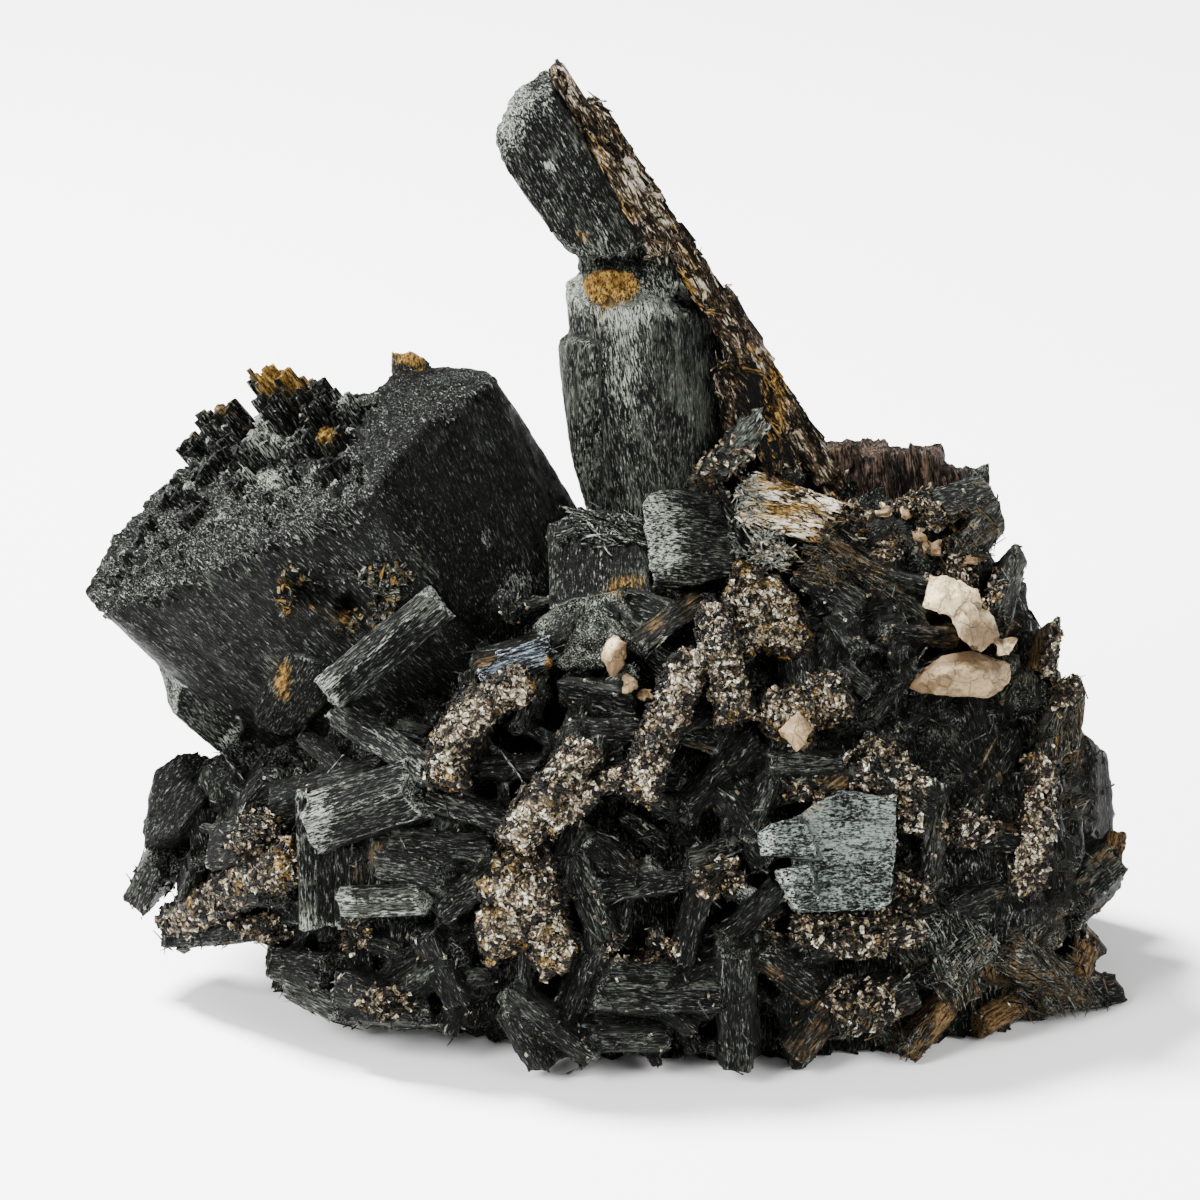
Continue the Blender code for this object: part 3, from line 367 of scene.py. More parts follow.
def mesh_of(name, skin):
    """A skin's mesh in metres, with its fibre places and its looks at each point."""
    mesh = bpy.data.meshes.new(name)
    sizes = [group.shape[1] for group in skin.faces for _ in range(len(group))]
    smooth = [flag for group, flag in zip(skin.faces, skin.smooth) for _ in range(len(group))]
    corners = np.concatenate([group.reshape(-1) for group in skin.faces])
    points = skin.points * MM
    points[:, 2] = np.maximum(points[:, 2], 0)
    mesh.vertices.add(len(points))
    mesh.vertices.foreach_set("co", points.astype(np.float32).reshape(-1))
    mesh.loops.add(len(corners))
    mesh.loops.foreach_set("vertex_index", corners.astype(np.int32))
    mesh.polygons.add(len(sizes))
    mesh.polygons.foreach_set("loop_start", (np.cumsum(sizes) - sizes).astype(np.int32))
    mesh.polygons.foreach_set("loop_total", np.array(sizes, np.int32))
    mesh.polygons.foreach_set("use_smooth", np.array(smooth, bool))
    for label, values in (("fibre", skin.fibre), ("looks", skin.looks)):
        layer = mesh.attributes.new(label, "FLOAT_VECTOR", "POINT")
        layer.data.foreach_set("vector", values.astype(np.float32).reshape(-1))
    mesh.update()
    mesh.validate()
    return mesh


def piece(name, skin, material, slot, *nodes):
    """A piece of the specimen made from a skin, in place of its plain solids."""
    mesh = mesh_of(name, skin)
    mesh.materials.append(material)
    thing = link(bpy.data.objects.new(name, mesh))
    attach(thing, "root")
    if nodes:
        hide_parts(*nodes)


def drawn(points):
    """Where points in millimetres are seen on the board: right, up and out."""
    rise = points[:, 1] * LEAN_SIN + points[:, 2] * LEAN_COS
    out = points[:, 2] * LEAN_SIN - points[:, 1] * LEAN_COS
    nearer = 1 - out / EYE_DISTANCE
    up = BOARD_MIDDLE + (rise - BOARD_MIDDLE) / nearer
    return np.stack([points[:, 0] / nearer, up, out], axis=1)


def in_spot(skin, right, up, half_width, half_height):
    """1 in the middle of an oval spot, a half at its rim, 0 beyond it and on faces turned away."""
    seen = drawn(skin.points)
    reach = np.hypot((seen[:, 0] - right) / half_width, (seen[:, 1] - up) / half_height)
    return np.clip(1.5 - reach, 0, 1) * (skin.ways @ np.array(OUTWARD) > -0.1)


def within(skin, spots):
    """Which points of a skin are seen within some oval spots."""
    return np.max([in_spot(skin, *place) for place in spots], axis=0) > 0.5


def mark(skin, channel, spots, amount=1.0):
    """Raise the wear (0), rust (1) or shade (2) of a skin in some oval spots."""
    for place in spots:
        values = skin.looks[:, channel]
        skin.looks[:, channel] = np.clip(values + amount * in_spot(skin, *place), 0, 1)


def dent(skin, spots, depth):
    """Hollow a skin out in some oval spots, by a depth in millimetres."""
    for place in spots:
        skin.points -= np.array(OUTWARD) * (depth * in_spot(skin, *place))[:, None]


class Value:
    """A number that changes over a surface; arithmetic on it adds Math nodes."""

    def __init__(self, paint, socket):
        self.paint, self.socket = paint, socket

    def math(self, operation, *terms):
        return self.paint.node("ShaderNodeMath", {"operation": operation},
                               dict(enumerate(terms)))

    def __add__(self, other):
        return self.math("ADD", self, other)

    def __mul__(self, other):
        return self.math("MULTIPLY", self, other)

    def __sub__(self, other):
        return self.math("SUBTRACT", self, other)

    def __rsub__(self, other):
        return self.math("SUBTRACT", other, self)

    __radd__ = __add__
    __rmul__ = __mul__

    def between(self, low, high):
        """0 below low, 1 above high, smooth in between."""
        return self.paint.node("ShaderNodeMapRange", {"interpolation_type": "SMOOTHSTEP"},
                               {"Value": self, "From Min": low, "From Max": high})


class Paint:
    """One material's nodes, with the fibre places and the finish that every piece carries."""

    def __init__(self, name, specular):
        self.material = bpy.data.materials.new(name)
        self.material.use_nodes = True
        self.tree = self.material.node_tree
        self.shader = self.tree.nodes["Principled BSDF"]
        self.shader.inputs["Specular IOR Level"].default_value = specular
        self.fibre, looks = self.attribute("fibre"), self.attribute("looks")
        self.wear, self.rust, self.shade = (self.part(looks, axis) for axis in "XYZ")

    def node(self, kind, settings, values, output=0):
        """A node's output: its settings are set first, then its sockets' values or links."""
        made = self.tree.nodes.new(kind)
        for key, setting in settings.items():
            setattr(made, key, setting)
        for key, value in values.items():
            self.feed(made.inputs[key], value)
        return Value(self, made.outputs[output])

    def feed(self, socket, value):
        if isinstance(value, Value):
            self.tree.links.new(value.socket, socket)
        else:
            socket.default_value = value

    def attribute(self, name):
        return self.node("ShaderNodeAttribute", {"attribute_name": name}, {}, "Vector")

    def part(self, vector, axis):
        return self.node("ShaderNodeSeparateXYZ", {}, {0: vector}, axis)

    def noise(self, scale, detail, rough):
        """Noise over the fibre places stretched by a scale of three numbers."""
        place = self.node("ShaderNodeVectorMath", {"operation": "MULTIPLY"},
                          {0: self.fibre, 1: scale})
        return self.node("ShaderNodeTexNoise", {}, {"Vector": place, "Scale": 1.0,
                                                    "Detail": detail, "Roughness": rough})

    def mix(self, share, under, over):
        """One colour over another."""
        return self.node("ShaderNodeMix", {"data_type": "RGBA"},
                         {0: share, 6: under, 7: over}, 2)

    def finish(self, colour, roughness, height, depth):
        """The material with its colour, its roughness and a relief some millimetres deep."""
        relief = self.node("ShaderNodeBump", {},
                           {"Height": height, "Strength": 1.0, "Distance": depth * MM})
        for socket, value in (("Base Color", colour), ("Roughness", roughness),
                              ("Normal", relief)):
            self.feed(self.shader.inputs[socket], value)
        return self.material


BLACK = (0.0012, 0.0013, 0.0011, 1)
DARK = (0.0042, 0.0045, 0.0036, 1)
GREY = (0.042, 0.046, 0.037, 1)
# The pale colour of frosted fibres, also used for the painted glints: painted highlights.
FROST_AND_GLINT = (0.30, 0.32, 0.275, 1)
ORANGE = (0.33, 0.195, 0.042, 1)
RUST = (0.060, 0.028, 0.007, 1)
DULL = 0.05


def amphibole(name, dark=DARK, grey=GREY, frost=FROST_AND_GLINT, gloss=0.5, stains=(RUST, ORANGE),
              short=1.0):
    """Fibrous amphibole: streaked along its fibres, frosted where worn, stained with rust, with
    painted glints and painted shade in its pits.
    """
    paint = Paint(name, DULL)
    streak = paint.noise((0.55 * short, 3.2, 3.2), 4.0, 0.75)
    hair = paint.noise((1.1 * short, 6.5, 6.5), 3.0, 0.7)
    cloud = paint.noise((0.22, 0.30, 0.30), 3.0, 0.6)
    speck = paint.noise((1.7 * short, 4.4, 4.4), 4.0, 0.85)
    split = paint.noise((0.13, 1.5, 1.5), 3.0, 0.55).between(0.33, 0.44)
    tone = streak * 0.5 + hair * 0.5 + (paint.shade - 0.5) * 0.20 + (cloud - 0.5) * 0.45
    colour = paint.mix(tone.between(0.43, 0.52), BLACK, dark)
    colour = paint.mix(tone.between(0.49, 0.60), colour, grey)
    # Pale specks along the fibres are painted glints: painted highlights in the frost colour,
    # standing in for the shine of the cleavage faces.
    painted_glint = (hair * 0.55 + speck * 0.45).between(0.51, 0.65)
    colour = paint.mix(painted_glint * (0.08 + paint.shade * 0.5), colour, frost)
    frosted = (paint.wear + (speck - 0.5) * 2.2 + (hair - 0.5) * 2.6).between(0.38, 0.95)
    colour = paint.mix(frosted * 0.9, colour, frost)
    stained = (paint.rust + (cloud - 0.5) * 1.6 + (streak - 0.5) * 0.9).between(0.40, 0.80)
    colour = paint.mix(stained * 0.95, colour, paint.mix(
        (speck * 0.5 + streak * 0.5).between(0.44, 0.58), *stains))
    # Black is painted into the pits, and more into the cracks that split marks: painted shade in
    # the hollows of the surface.
    painted_pit_shade = (speck * 0.5 + hair * 0.5 - paint.wear * 0.07).between(0.40, 0.48)
    painted_pit_shade = painted_pit_shade * (split * 0.75 + 0.25)
    colour = paint.mix(painted_pit_shade * 0.88 + 0.12, BLACK, colour)
    height = streak * 0.6 + hair * 0.4 + speck * 0.5 + split * 0.35
    return paint.finish(colour, gloss + frosted * 0.3 - painted_glint * 0.2, height, 0.6)


END_FRONT_LEFT = Vector((-50.2, 36.8, 10.0))
END_FRONT_RIGHT = Vector((-23.0, 47.8, 29.0))
END_BACK_LEFT = Vector((-42.3, 50.3, -8.0))
END_BACK_RIGHT = Vector((-22.5, 58.3, 0.0))
FAN_LEFT, FAN_SPREAD = math.radians(137), math.radians(13)
FAN_FLAT, FAN_OUT = 0.95, 0.3
END_STEPS = 30           # how finely the toothed end is searched, each way


def end_place(along, back):
    """A place on the toothed end: along from left to right, back from front to rear."""
    near = END_FRONT_LEFT.lerp(END_FRONT_RIGHT, along)
    far = END_BACK_LEFT.lerp(END_BACK_RIGHT, along)
    return near.lerp(far, back)


def fan(along):
    """Way that the crystal's fibres run at its end: they spread like a sheaf."""
    angle = FAN_LEFT - FAN_SPREAD * along
    return Vector((math.cos(angle) * FAN_FLAT, math.sin(angle) * FAN_FLAT, FAN_OUT))


def tooth(along, back, length, width, seed, **looks):
    """A small prism left standing on the toothed end."""
    place = end_place(along, back)
    way = fan(along)
    return prism(place - way * 3, place + way * length, width, width * 0.9, turn=20, sides=4,
                 seed=seed, rough=0.12, **looks)


stout = [
    block([(-51.6, 37.6, 5), (-50.0, 36.0, 12), (-49.0, 35.6, 15), (-36.5, 41.2, 24),
           (-23.0, 47.6, 30), (-20.5, 52.5, 20), (-22.5, 58.0, 0), (-31.0, 56.0, -6),
           (-42.3, 50.3, -8), (-49.0, 43.0, -4),
           (-33.8, 20.6, 4), (-30.0, 21.1, 9), (-9.0, 27.0, 22), (-6.0, 38.0, 4),
           (-16.0, 41.0, -14), (-27.0, 33.0, -14), (-35.0, 25.0, -8)],
          (-20.0, 30.0, 5), (-38.0, 46.5, 11), shade=0.20, steps=1.0, cell=1.3, pits=0.14,
          fuzz=0.9, frost=0.47, creep=2.4),
    block([(-22.9, 47.8, 30), (-21.6, 50.2, 28.5), (-16.7, 55.4, 22), (-10.6, 59.2, 13),
           (-24.0, 57.0, 6), (-20.6, 59.6, 3), (-15.6, 60.2, -2), (-11.5, 59.9, -2),
           (-15.8, 36.0, 26), (-10.0, 28.0, 20), (-1.5, 36.9, 14), (0.0, 42.9, 6),
           (-6.0, 42.0, -8), (-18.0, 41.0, -4)],
          (-7.0, 36.0, 12), (-18.5, 56.0, 10), shade=0.12, steps=0.4, pits=0.12, fuzz=0.5,
          frost=0.28, creep=1.6),
    block([(-31.0, 31.9, 18.5), (-27.3, 30.6, 19.2), (-27.6, 26.5, 16.2), (-30.5, 23.0, 12.6),
           (-34.6, 23.6, 11.6), (-34.8, 26.0, 13.2), (-30.0, 30.0, 8), (-28.5, 27.0, 8),
           (-33.0, 25.0, 6)], (-33, 24, 10), (-29, 31, 14), shade=0.35, frost=0.6, rust=0.2),
    block([(-43.2, 26.2, 7), (-42.4, 25.2, 9), (-38.0, 21.4, 9), (-35.0, 20.4, 6),
           (-44.4, 31.0, 4), (-36.0, 24.5, 10), (-42.0, 30.0, 9), (-34.0, 24.0, -2),
           (-42.0, 30.0, -3)], (-36, 21, 4), (-42, 26, 5), shade=0.4, steps=0.3),
    prism((-31.5, 17.5, 6), (-35.5, 24.0, 4), 5.0, 7.0, turn=10, seed=5, shade=0.6),
]


def on_end(right, up):
    """The place on the toothed end that is seen at a point of the board."""
    places = [end_place(along / END_STEPS, back / END_STEPS)
              for along in range(END_STEPS + 1) for back in range(END_STEPS + 1)]
    return min(places, key=lambda place: math.hypot(place.x - right, place.y - up))


def bundle(foot, way, length, radius, count, seed, low=0.6, **looks):
    """Thin prisms packed side by side and broken off at uneven heights."""
    thick = 2.2 * radius / math.sqrt(count)
    rng = random.Random(seed)
    across = way.cross(Vector((0, 0, 1))).normalized()
    behind = way.cross(across)
    packed = []
    for k in range(count):
        reach, angle = radius * math.sqrt((k + 0.5) / count), 2.4 * k
        start = foot + across * (math.cos(angle) * reach) + behind * (math.sin(angle) * reach)
        rise = length * rng.uniform(low, 1.0)
        packed.append(prism(start - way * 2.5, start + way * rise, thick * rng.uniform(0.8, 1.4),
                            thick * rng.uniform(0.8, 1.3), turn=rng.uniform(0, 60), sides=5,
                            taper=rng.uniform(0.6, 0.95), seed=seed + k, rough=0.15, **looks))
    return packed


# The broken stubs of the toothed end: right and up, length, radius and how many prisms each holds.
STUBS = [
    (-30.2, 54.6, 5.8, 2.7, 22), (-27.0, 55.0, 4.4, 2.0, 16), (-24.9, 54.8, 3.0, 1.4, 9),
    (-36.0, 52.6, 5.0, 2.2, 15), (-39.8, 51.2, 2.6, 1.6, 10), (-37.0, 50.4, 2.6, 1.7, 9),
    (-33.2, 50.8, 4.0, 2.1, 13), (-29.2, 50.8, 3.2, 1.7, 10), (-25.6, 51.6, 2.8, 1.6, 9),
    (-26.0, 49.2, 2.4, 1.6, 8), (-31.4, 53.2, 3.4, 1.8, 11), (-38.8, 48.4, 2.2, 1.5, 8),
    (-35.0, 47.8, 2.2, 1.5, 8), (-30.8, 47.8, 2.2, 1.5, 8), (-22.8, 54.8, 2.0, 1.3, 7),
    (-42.2, 46.4, 1.7, 1.3, 6), (-45.2, 43.4, 1.4, 1.2, 5), (-40.4, 44.6, 1.4, 1.3, 6),
]
needles = bundle(on_end(-30.8, 55.2), fan(0.7), 6.9, 1.7, 24, 690, low=0.7, rust=0.38,
                 frost=0.2)
for k, (right, up, length, radius, count) in enumerate(STUBS):
    along = (right - END_FRONT_LEFT.x) / (END_FRONT_RIGHT.x - END_FRONT_LEFT.x)
    needles += bundle(on_end(right, up), fan(along), length, radius, count, 720 + 30 * k,
                      shade=0.1, frost=0.3)
# The rusty stub on the saddle, and short prisms in rows over the toothed end.
stubs = [block([(-20.8, 61.8, 1), (-20.9, 62.0, 4), (-17.6, 61.5, 4.5), (-17.3, 61.2, 1),
                (-16.8, 60.0, 3), (-20.6, 59.4, 5), (-20.4, 57.0, 0), (-17.0, 57.0, 0),
                (-17.0, 57.0, 5)], (-18.5, 57, 2), (-18.9, 62, 3), rust=0.4, steps=1.0, cell=0.6,
               grooves=0.3, pits=0.3, shade=0.2, frost=0.2)]
TOOTH_ROWS = 3
TEETH_PER_ROW = 6
rng = random.Random(11)
for row in range(TOOTH_ROWS):
    for k in range(TEETH_PER_ROW):
        along = (k + rng.uniform(0.2, 0.8)) / TEETH_PER_ROW
        back = (row + rng.uniform(0.3, 0.9)) / TOOTH_ROWS
        length = rng.uniform(0.8, 2.2) + 2.0 * back * math.sin(math.pi * along)
        stubs.append(tooth(along, back, length, rng.uniform(1.3, 2.2), seed=k + 10 * row,
                           shade=0.1))


WEDGE = np.array([[x, math.sin(turn), math.cos(turn)] for x in (-1, 1)
                  for turn in (0, -math.tau / 3, math.tau / 3)])
WEDGE_SIDES = [[0, 1, 4, 3], [1, 2, 5, 4], [2, 0, 3, 5]]
WEDGE_ENDS = [[0, 2, 1], [3, 4, 5]]


def wedges(count, size, length, point, rng):
    """The corners of uneven three-sided wedges, six for each, about its own middle."""
    wide = rng.uniform(size[0], size[1], count)[:, None, None]
    half = np.concatenate([wide * rng.uniform(length[0], length[1], (count, 1, 1)),
                           wide, wide * rng.uniform(0.6, 1, (count, 1, 1))], axis=2) / 2
    corners = WEDGE[None] * half * rng.uniform(0.7, 1.3, (count, 6, 3))
    corners[:, 3:, 1:] *= point
    return corners


def grit(skin, count, size, length, seed, along=None, stray=1.0, wear=(0, 0.6), rust=(0, 0.2),
         shade=(0, 1), lay=0.8, point=1.0, spots=None):
    """Small wedges that lie on a skin, all over it or in spots: crumbs, or splinters when long.

    Their width is drawn between two sizes, and their length between two multiples of it. They
    follow `along` but stray from it, lie flat as far as `lay` says, and narrow to `point`. Wear,
    rust and shade are drawn between two numbers each.
    """
    rng = np.random.default_rng(seed)
    bare = np.nonzero(within(skin, spots))[0] if spots else len(skin.points)
    chosen = rng.choice(bare, count)
    way = skin.ways[chosen]
    axis = rng.normal(size=(count, 3)) * stray
    if along is not None:
        axis = axis + np.array(along)
    axis -= way * (axis * way).sum(axis=1)[:, None] * lay
    axis /= np.linalg.norm(axis, axis=1)[:, None]
    across = np.cross(axis, rng.normal(size=(count, 3)))
    across /= np.linalg.norm(across, axis=1)[:, None]
    local = wedges(count, size, length, point, rng)
    points = skin.points[chosen][:, None] + local @ np.stack(
        [axis, across, np.cross(axis, across)], axis=1)
    first = 6 * np.arange(count)[:, None, None]
    faces = [(np.array(sides) + first).reshape(-1, len(sides[0]))
             for sides in (WEDGE_SIDES, WEDGE_ENDS)]
    fibre = local + rng.uniform(0, 50, (count, 1, 3))
    looks = np.stack([np.broadcast_to(rng.uniform(low, high, (count, 1)), (count, 6))
                      for low, high in (wear, rust, shade)], axis=2)
    return Skin(points.reshape(-1, 3), np.repeat(way, 6, axis=0), faces, [False, False],
                fibre.reshape(-1, 3), looks.reshape(-1, 3))


BIG_TEETH = 60
SMALL_TEETH = 420
FIBRE_WAY = (-0.65, -0.07, 0.76)
# Spots are given as right, up, half width and half height on the board.
TOOTHED_END = [(-45.0, 41.0, 6, 5), (-37.0, 46.5, 7, 6), (-28.0, 51.5, 6, 6), (-20, 57, 6, 3.5)]
stout_skin = grown(stout + stubs, voxel=0.44, worn=3)
# Two holes broken into the left lobe, with crusted rims.
dent(stout_skin, [(-28.8, 38.2, 2.2, 1.3), (-25.0, 36.4, 1.2, 1.0)], 3.0)
for k in range(BIG_TEETH):
    along, back = rng.uniform(0.08, 0.98), rng.uniform(0.2, 0.98)
    needles.append(tooth(along, back, rng.uniform(0.4, 1.2) + rng.uniform(0.2, 1.6) * back,
                         rng.uniform(0.7, 1.5), seed=200 + k, shade=rng.uniform(0, 0.15),
                         taper=rng.uniform(0.5, 0.9), frost=rng.uniform(0.0, 0.5)))
for k in range(SMALL_TEETH):
    along, back = rng.uniform(0.02, 0.98), rng.uniform(0.02, 0.98)
    needles.append(tooth(along, back, rng.uniform(-0.4, 0.8), rng.uniform(0.3, 0.8),
                         seed=400 + k, shade=rng.uniform(0, 0.4), taper=0.6,
                         frost=rng.uniform(0.0, 0.6)))
stout_skin = together([
    stout_skin, sharp(needles),
    grit(stout_skin, 1500, (0.08, 0.22), (3, 7), 13, along=FIBRE_WAY, stray=0.5, lay=0.3,
         point=0.3, spots=TOOTHED_END, wear=(0.1, 0.7), shade=(0, 0.7)),
    grit(stout_skin, 220, (0.25, 0.8), (0.8, 2.5), 14, wear=(0.0, 0.7), rust=(0, 0.6), lay=0.2,
         spots=[(-21.5, 39.2, 3.0, 1.2), (-21.5, 36.0, 1.2, 2.6), (-20.0, 34.6, 3.0, 0.9)]),
    grit(stout_skin, 90, (0.2, 0.5), (1.0, 3.0), 15, rust=(0.0, 0.3), lay=0.4,
         spots=[(-28.5, 39.6, 4.0, 1.0), (-24.6, 34.6, 1.6, 1.6), (-31.5, 37.0, 1.2, 1.6)])])
mark(stout_skin, 1, [(-31.0, 60.0, 2.8, 2.2), (-38.4, 57.0, 1.8, 1.4), (-41.6, 54.0, 1.0, 1.0),
                     (-27.5, 53.5, 1.2, 0.9)], 0.8)
mark(stout_skin, 0, [(-33.5, 53.5, 2.6, 1.6), (-32.0, 48.8, 2.0, 0.9), (-25.4, 57.0, 1.0, 1.2)],
     0.5)
mark(stout_skin, 1, [(-31.6, 29.0, 0.8, 2.3), (-31.5, 38.0, 2.8, 2.8), (-28.8, 35.6, 3.4, 1.2),
                     (-19.4, 61.4, 1.6, 0.9), (-24.8, 34.8, 1.4, 1.8)], 0.36)
mark(stout_skin, 0, [(-11.4, 43.1, 0.7, 1.0), (-8.0, 38.4, 1.8, 1.8), (-35.0, 49.9, 1.4, 1.0)],
     0.5)
grey_amphibole = amphibole("grey_amphibole")
piece("stout_double_crystal", stout_skin, grey_amphibole, "grey_amphibole", "stout_crystal")

# ---- The tall crystal ------------------------------------------------------
# A standing six-sided prism with a worn white saddle on top, a neck with an orange hollow, and the
# prism that leans on from it to the specimen's highest point.
tall = [
    block([(-3.5, 68.8, 13), (-3.4, 67.0, 18), (4.8, 66.9, 27), (11.8, 65.0, 17), (12.4, 62.5, 13),
           (8.5, 70.5, 6), (0.0, 71.2, 5),
           (-1.0, 45.0, 10), (0.0, 42.0, 14), (6.8, 42.0, 20), (14.0, 44.0, 13), (13.0, 48.0, 5),
           (6.0, 46.0, -1), (1.0, 46.0, 2)], (7, 44, 10), (4, 68, 13), shade=0.48, steps=0.4,
          fuzz=0.35, frost=0.55, creep=1.8),
    block([(-4.0, 63.4, 13), (-4.2, 62.0, 17), (-3.2, 63.0, 19.2), (-3.0, 52.0, 9),
           (-2.7, 51.0, 17.2), (-0.8, 44.0, 14.5), (-0.4, 62.6, 21.6), (2.0, 62.0, 10),
           (2.0, 45.0, 8)], (-1, 45, 12), (-2, 62, 15), shade=0.62, frost=0.4),
    block([(-2.6, 73.0, 20), (-2.0, 69.6, 21), (-1.3, 66.6, 23), (3.6, 66.4, 26),
           (7.6, 67.6, 24), (8.4, 71.6, 22), (6.6, 74.0, 22), (-1.0, 74.0, 14), (6.6, 73.6, 13),
           (0.0, 67.0, 12), (7.6, 67.0, 12)],
          (2, 67, 18), (1, 74, 18), shade=0.5, frost=0.5, pits=0.4),
    block([(-5.3, 90.0, 24), (-5.0, 88.0, 31), (-8.6, 88.0, 28), (-9.6, 85.8, 30),
           (-10.5, 82.6, 29), (-9.4, 79.9, 30.5), (-3.6, 71.9, 27.5), (-2.4, 71.3, 26.5),
           (1.4, 70.8, 28), (5.0, 72.9, 26), (-4.0, 86.4, 31),
           (-9.4, 85.0, 21), (-3.0, 72.5, 17), (5.0, 73.5, 17), (-4.8, 89.0, 22)],
          (1, 72, 22), (-7, 87, 26), shade=0.30, steps=0.5, fuzz=0.5, frost=0.51, creep=2.0),
]
tall_skin = grown(tall, voxel=0.36, seed=40, worn=7)
mark(tall_skin, 0, [(-8.8, 86.0, 1.6, 4.4), (1.6, 66.0, 4.4, 2.2), (-2.8, 68.0, 1.6, 2.0),
                    (6.4, 67.6, 2.2, 2.4), (2.0, 61.0, 2.4, 5.0)], 0.4)
mark(tall_skin, 0, [(3.2, 55.0, 1.4, 9.0)], 0.15)
mark(tall_skin, 1, [(1.2, 68.3, 2.6, 1.9), (1.2, 68.3, 2.2, 1.6)], 0.9)
# Rust is taken off again above the hollow, so the orange ends in a straight top where the neck's
# shadow falls: a painted shadow edge.
mark(tall_skin, 1, [(1.2, 71.6, 3.6, 1.6)], -1.0)
mark(tall_skin, 1, [(-2.8, 73.4, 2.4, 1.4), (0.2, 64.2, 0.8, 1.6)], 0.28)
mark(tall_skin, 0, [(-5.2, 80.2, 1.0, 0.7)], 0.6)
# The tall crystal's right face is painted paler, in place of light that does not reach it: painted
# light.
mark(tall_skin, 2, [(9.6, 55.0, 3.2, 12.0)], 0.18)
piece("tall_crystal_with_tip", tall_skin, grey_amphibole, "grey_amphibole", "tall_crystal")

# ---- The rusty slab --------------------------------------------------------
# Thin blades of weathered amphibole packed side by side, stepping down the right side of the tall
# crystal. They have split into black, brown, orange and cream fibres, and their tips stick out.
SPLIT_BROWN = (0.042, 0.027, 0.014, 1)
SPLIT_CREAM = (0.33, 0.30, 0.235, 1)


def splintered(name, cream):
    """Split and weathered fibres: black, brown, orange and cream side by side, with painted shade
    in their pits.
    """
    paint = Paint(name, DULL)
    streak = paint.noise((0.6, 2.6, 2.6), 4.0, 0.75)
    hair = paint.noise((1.6, 5.5, 5.5), 3.0, 0.7)
    cloud = paint.noise((0.25, 0.45, 0.45), 3.0, 0.6)
    tone = streak * 0.5 + hair * 0.5 + (cloud - 0.5) * 0.8 + (paint.shade - 0.5) * 0.25
    colour = paint.mix(tone.between(0.43, 0.52), BLACK, SPLIT_BROWN)
    colour = paint.mix(tone.between(0.53, 0.62), colour, cream)
    frosted = paint.wear * 0.5 + (hair - 0.5) * 1.8 + (streak - 0.5) * 0.8
    frosted = frosted.between(0.32, 0.7)
    colour = paint.mix(frosted * 0.6, colour, cream)
    stained = (paint.rust + (cloud - 0.5) * 1.8 + (streak - 0.5)).between(0.45, 0.8)
    colour = paint.mix(stained * 0.8, colour, paint.mix(hair.between(0.42, 0.56), RUST, ORANGE))
    # Black is painted into the pits between the fibres: painted shade.
    painted_pit_shade = (streak * 0.4 + hair * 0.6).between(0.38, 0.46)
    colour = paint.mix(painted_pit_shade, BLACK, colour)
    return paint.finish(colour, 0.6 + frosted * 0.2, streak * 0.7 + hair * 0.5, 0.7)


def blade(foot, tip, width, depth, seed, **looks):
    """One thin blade of a split pack."""
    return prism(foot, tip, width, depth, turn=0, sides=4, taper=0.9, seed=seed, rough=0.1,
                 grooves=0.32, steps=2.2, cell=0.8, **looks)


# Each blade: its foot and tip, its width and depth, its seed, and how pale and rusty it is.
BLADES = [
    ((6.2, 71.5, 24), (-4.6, 90.0, 27), 2.8, 9, 1, 0.5, 0),
    ((9.0, 70.5, 22), (-1.2, 86.4, 26), 3.0, 9, 2, 0.5, 0),
    ((10.8, 67.0, 20), (4.2, 78.6, 25), 3.2, 10, 3, 0.45, 0),
    ((16.2, 58.0, 17), (8.4, 71.6, 21), 3.4, 11, 5, 0.4, 0),
    ((19.0, 54.0, 16), (12.0, 67.4, 19), 3.8, 10, 6, 0.4, 0.2),
    ((22.6, 49.0, 14), (14.8, 62.0, 18), 3.6, 9, 7, 0.2, 0.2),
    ((18.4, 49.6, 17), (13.0, 61.6, 20), 4.6, 9, 8, 0.1, 0),
    ((23.8, 48.0, 12), (17.4, 58.0, 16), 3.6, 9, 9, 0.2, 0.2),
    ((14.6, 49.0, 14), (12.2, 60.0, 17), 3.2, 9, 10, 0.3, 0),
]
SLAB_WAY = (-0.55, 0.25, 0.80)
PALE_SLAB = [(1.0, 80.0, 6.0, 10.0), (8.8, 68.0, 4.0, 7.0), (12.6, 62.0, 2.4, 5.0)]
DARK_SLAB = [(18.0, 54.0, 4.0, 6.0), (14.0, 55.0, 2.5, 5.0)]
slab_skin = grown([blade(foot, tip, width, depth, seed, shade=shade, rust=rust)
                   for foot, tip, width, depth, seed, shade, rust in BLADES], voxel=0.34,
                  seed=60)
slab_skin = together([
    slab_skin,
    grit(slab_skin, 2200, (0.10, 0.34), (3, 9), 61, along=SLAB_WAY, stray=0.16, wear=(0, 0.3),
         rust=(0, 0.45), shade=(0, 0.65), point=0.4, lay=1.0, spots=PALE_SLAB),
    grit(slab_skin, 1100, (0.10, 0.34), (3, 8), 62, along=SLAB_WAY, stray=0.2, wear=(0, 0.1),
         rust=(0, 0.4), shade=(0, 0.35), point=0.4, lay=1.0, spots=DARK_SLAB),
    grit(slab_skin, 300, (0.4, 1.0), (1.0, 2.4), 63, along=SLAB_WAY, stray=0.4, wear=(0, 0.1),
         rust=(0, 0.5), point=0.6, shade=(0, 0.5))])
mark(slab_skin, 1, [(-0.5, 80.0, 0.9, 4.0), (2.5, 75.0, 0.9, 3.0), (8.6, 67.0, 1.2, 4.0),
                    (17.5, 57.0, 1.4, 5.0)], 0.4)
piece("rusty_blades", slab_skin, splintered("rusty_split", SPLIT_CREAM), "rusty_amphibole",
      "rusty_slab")

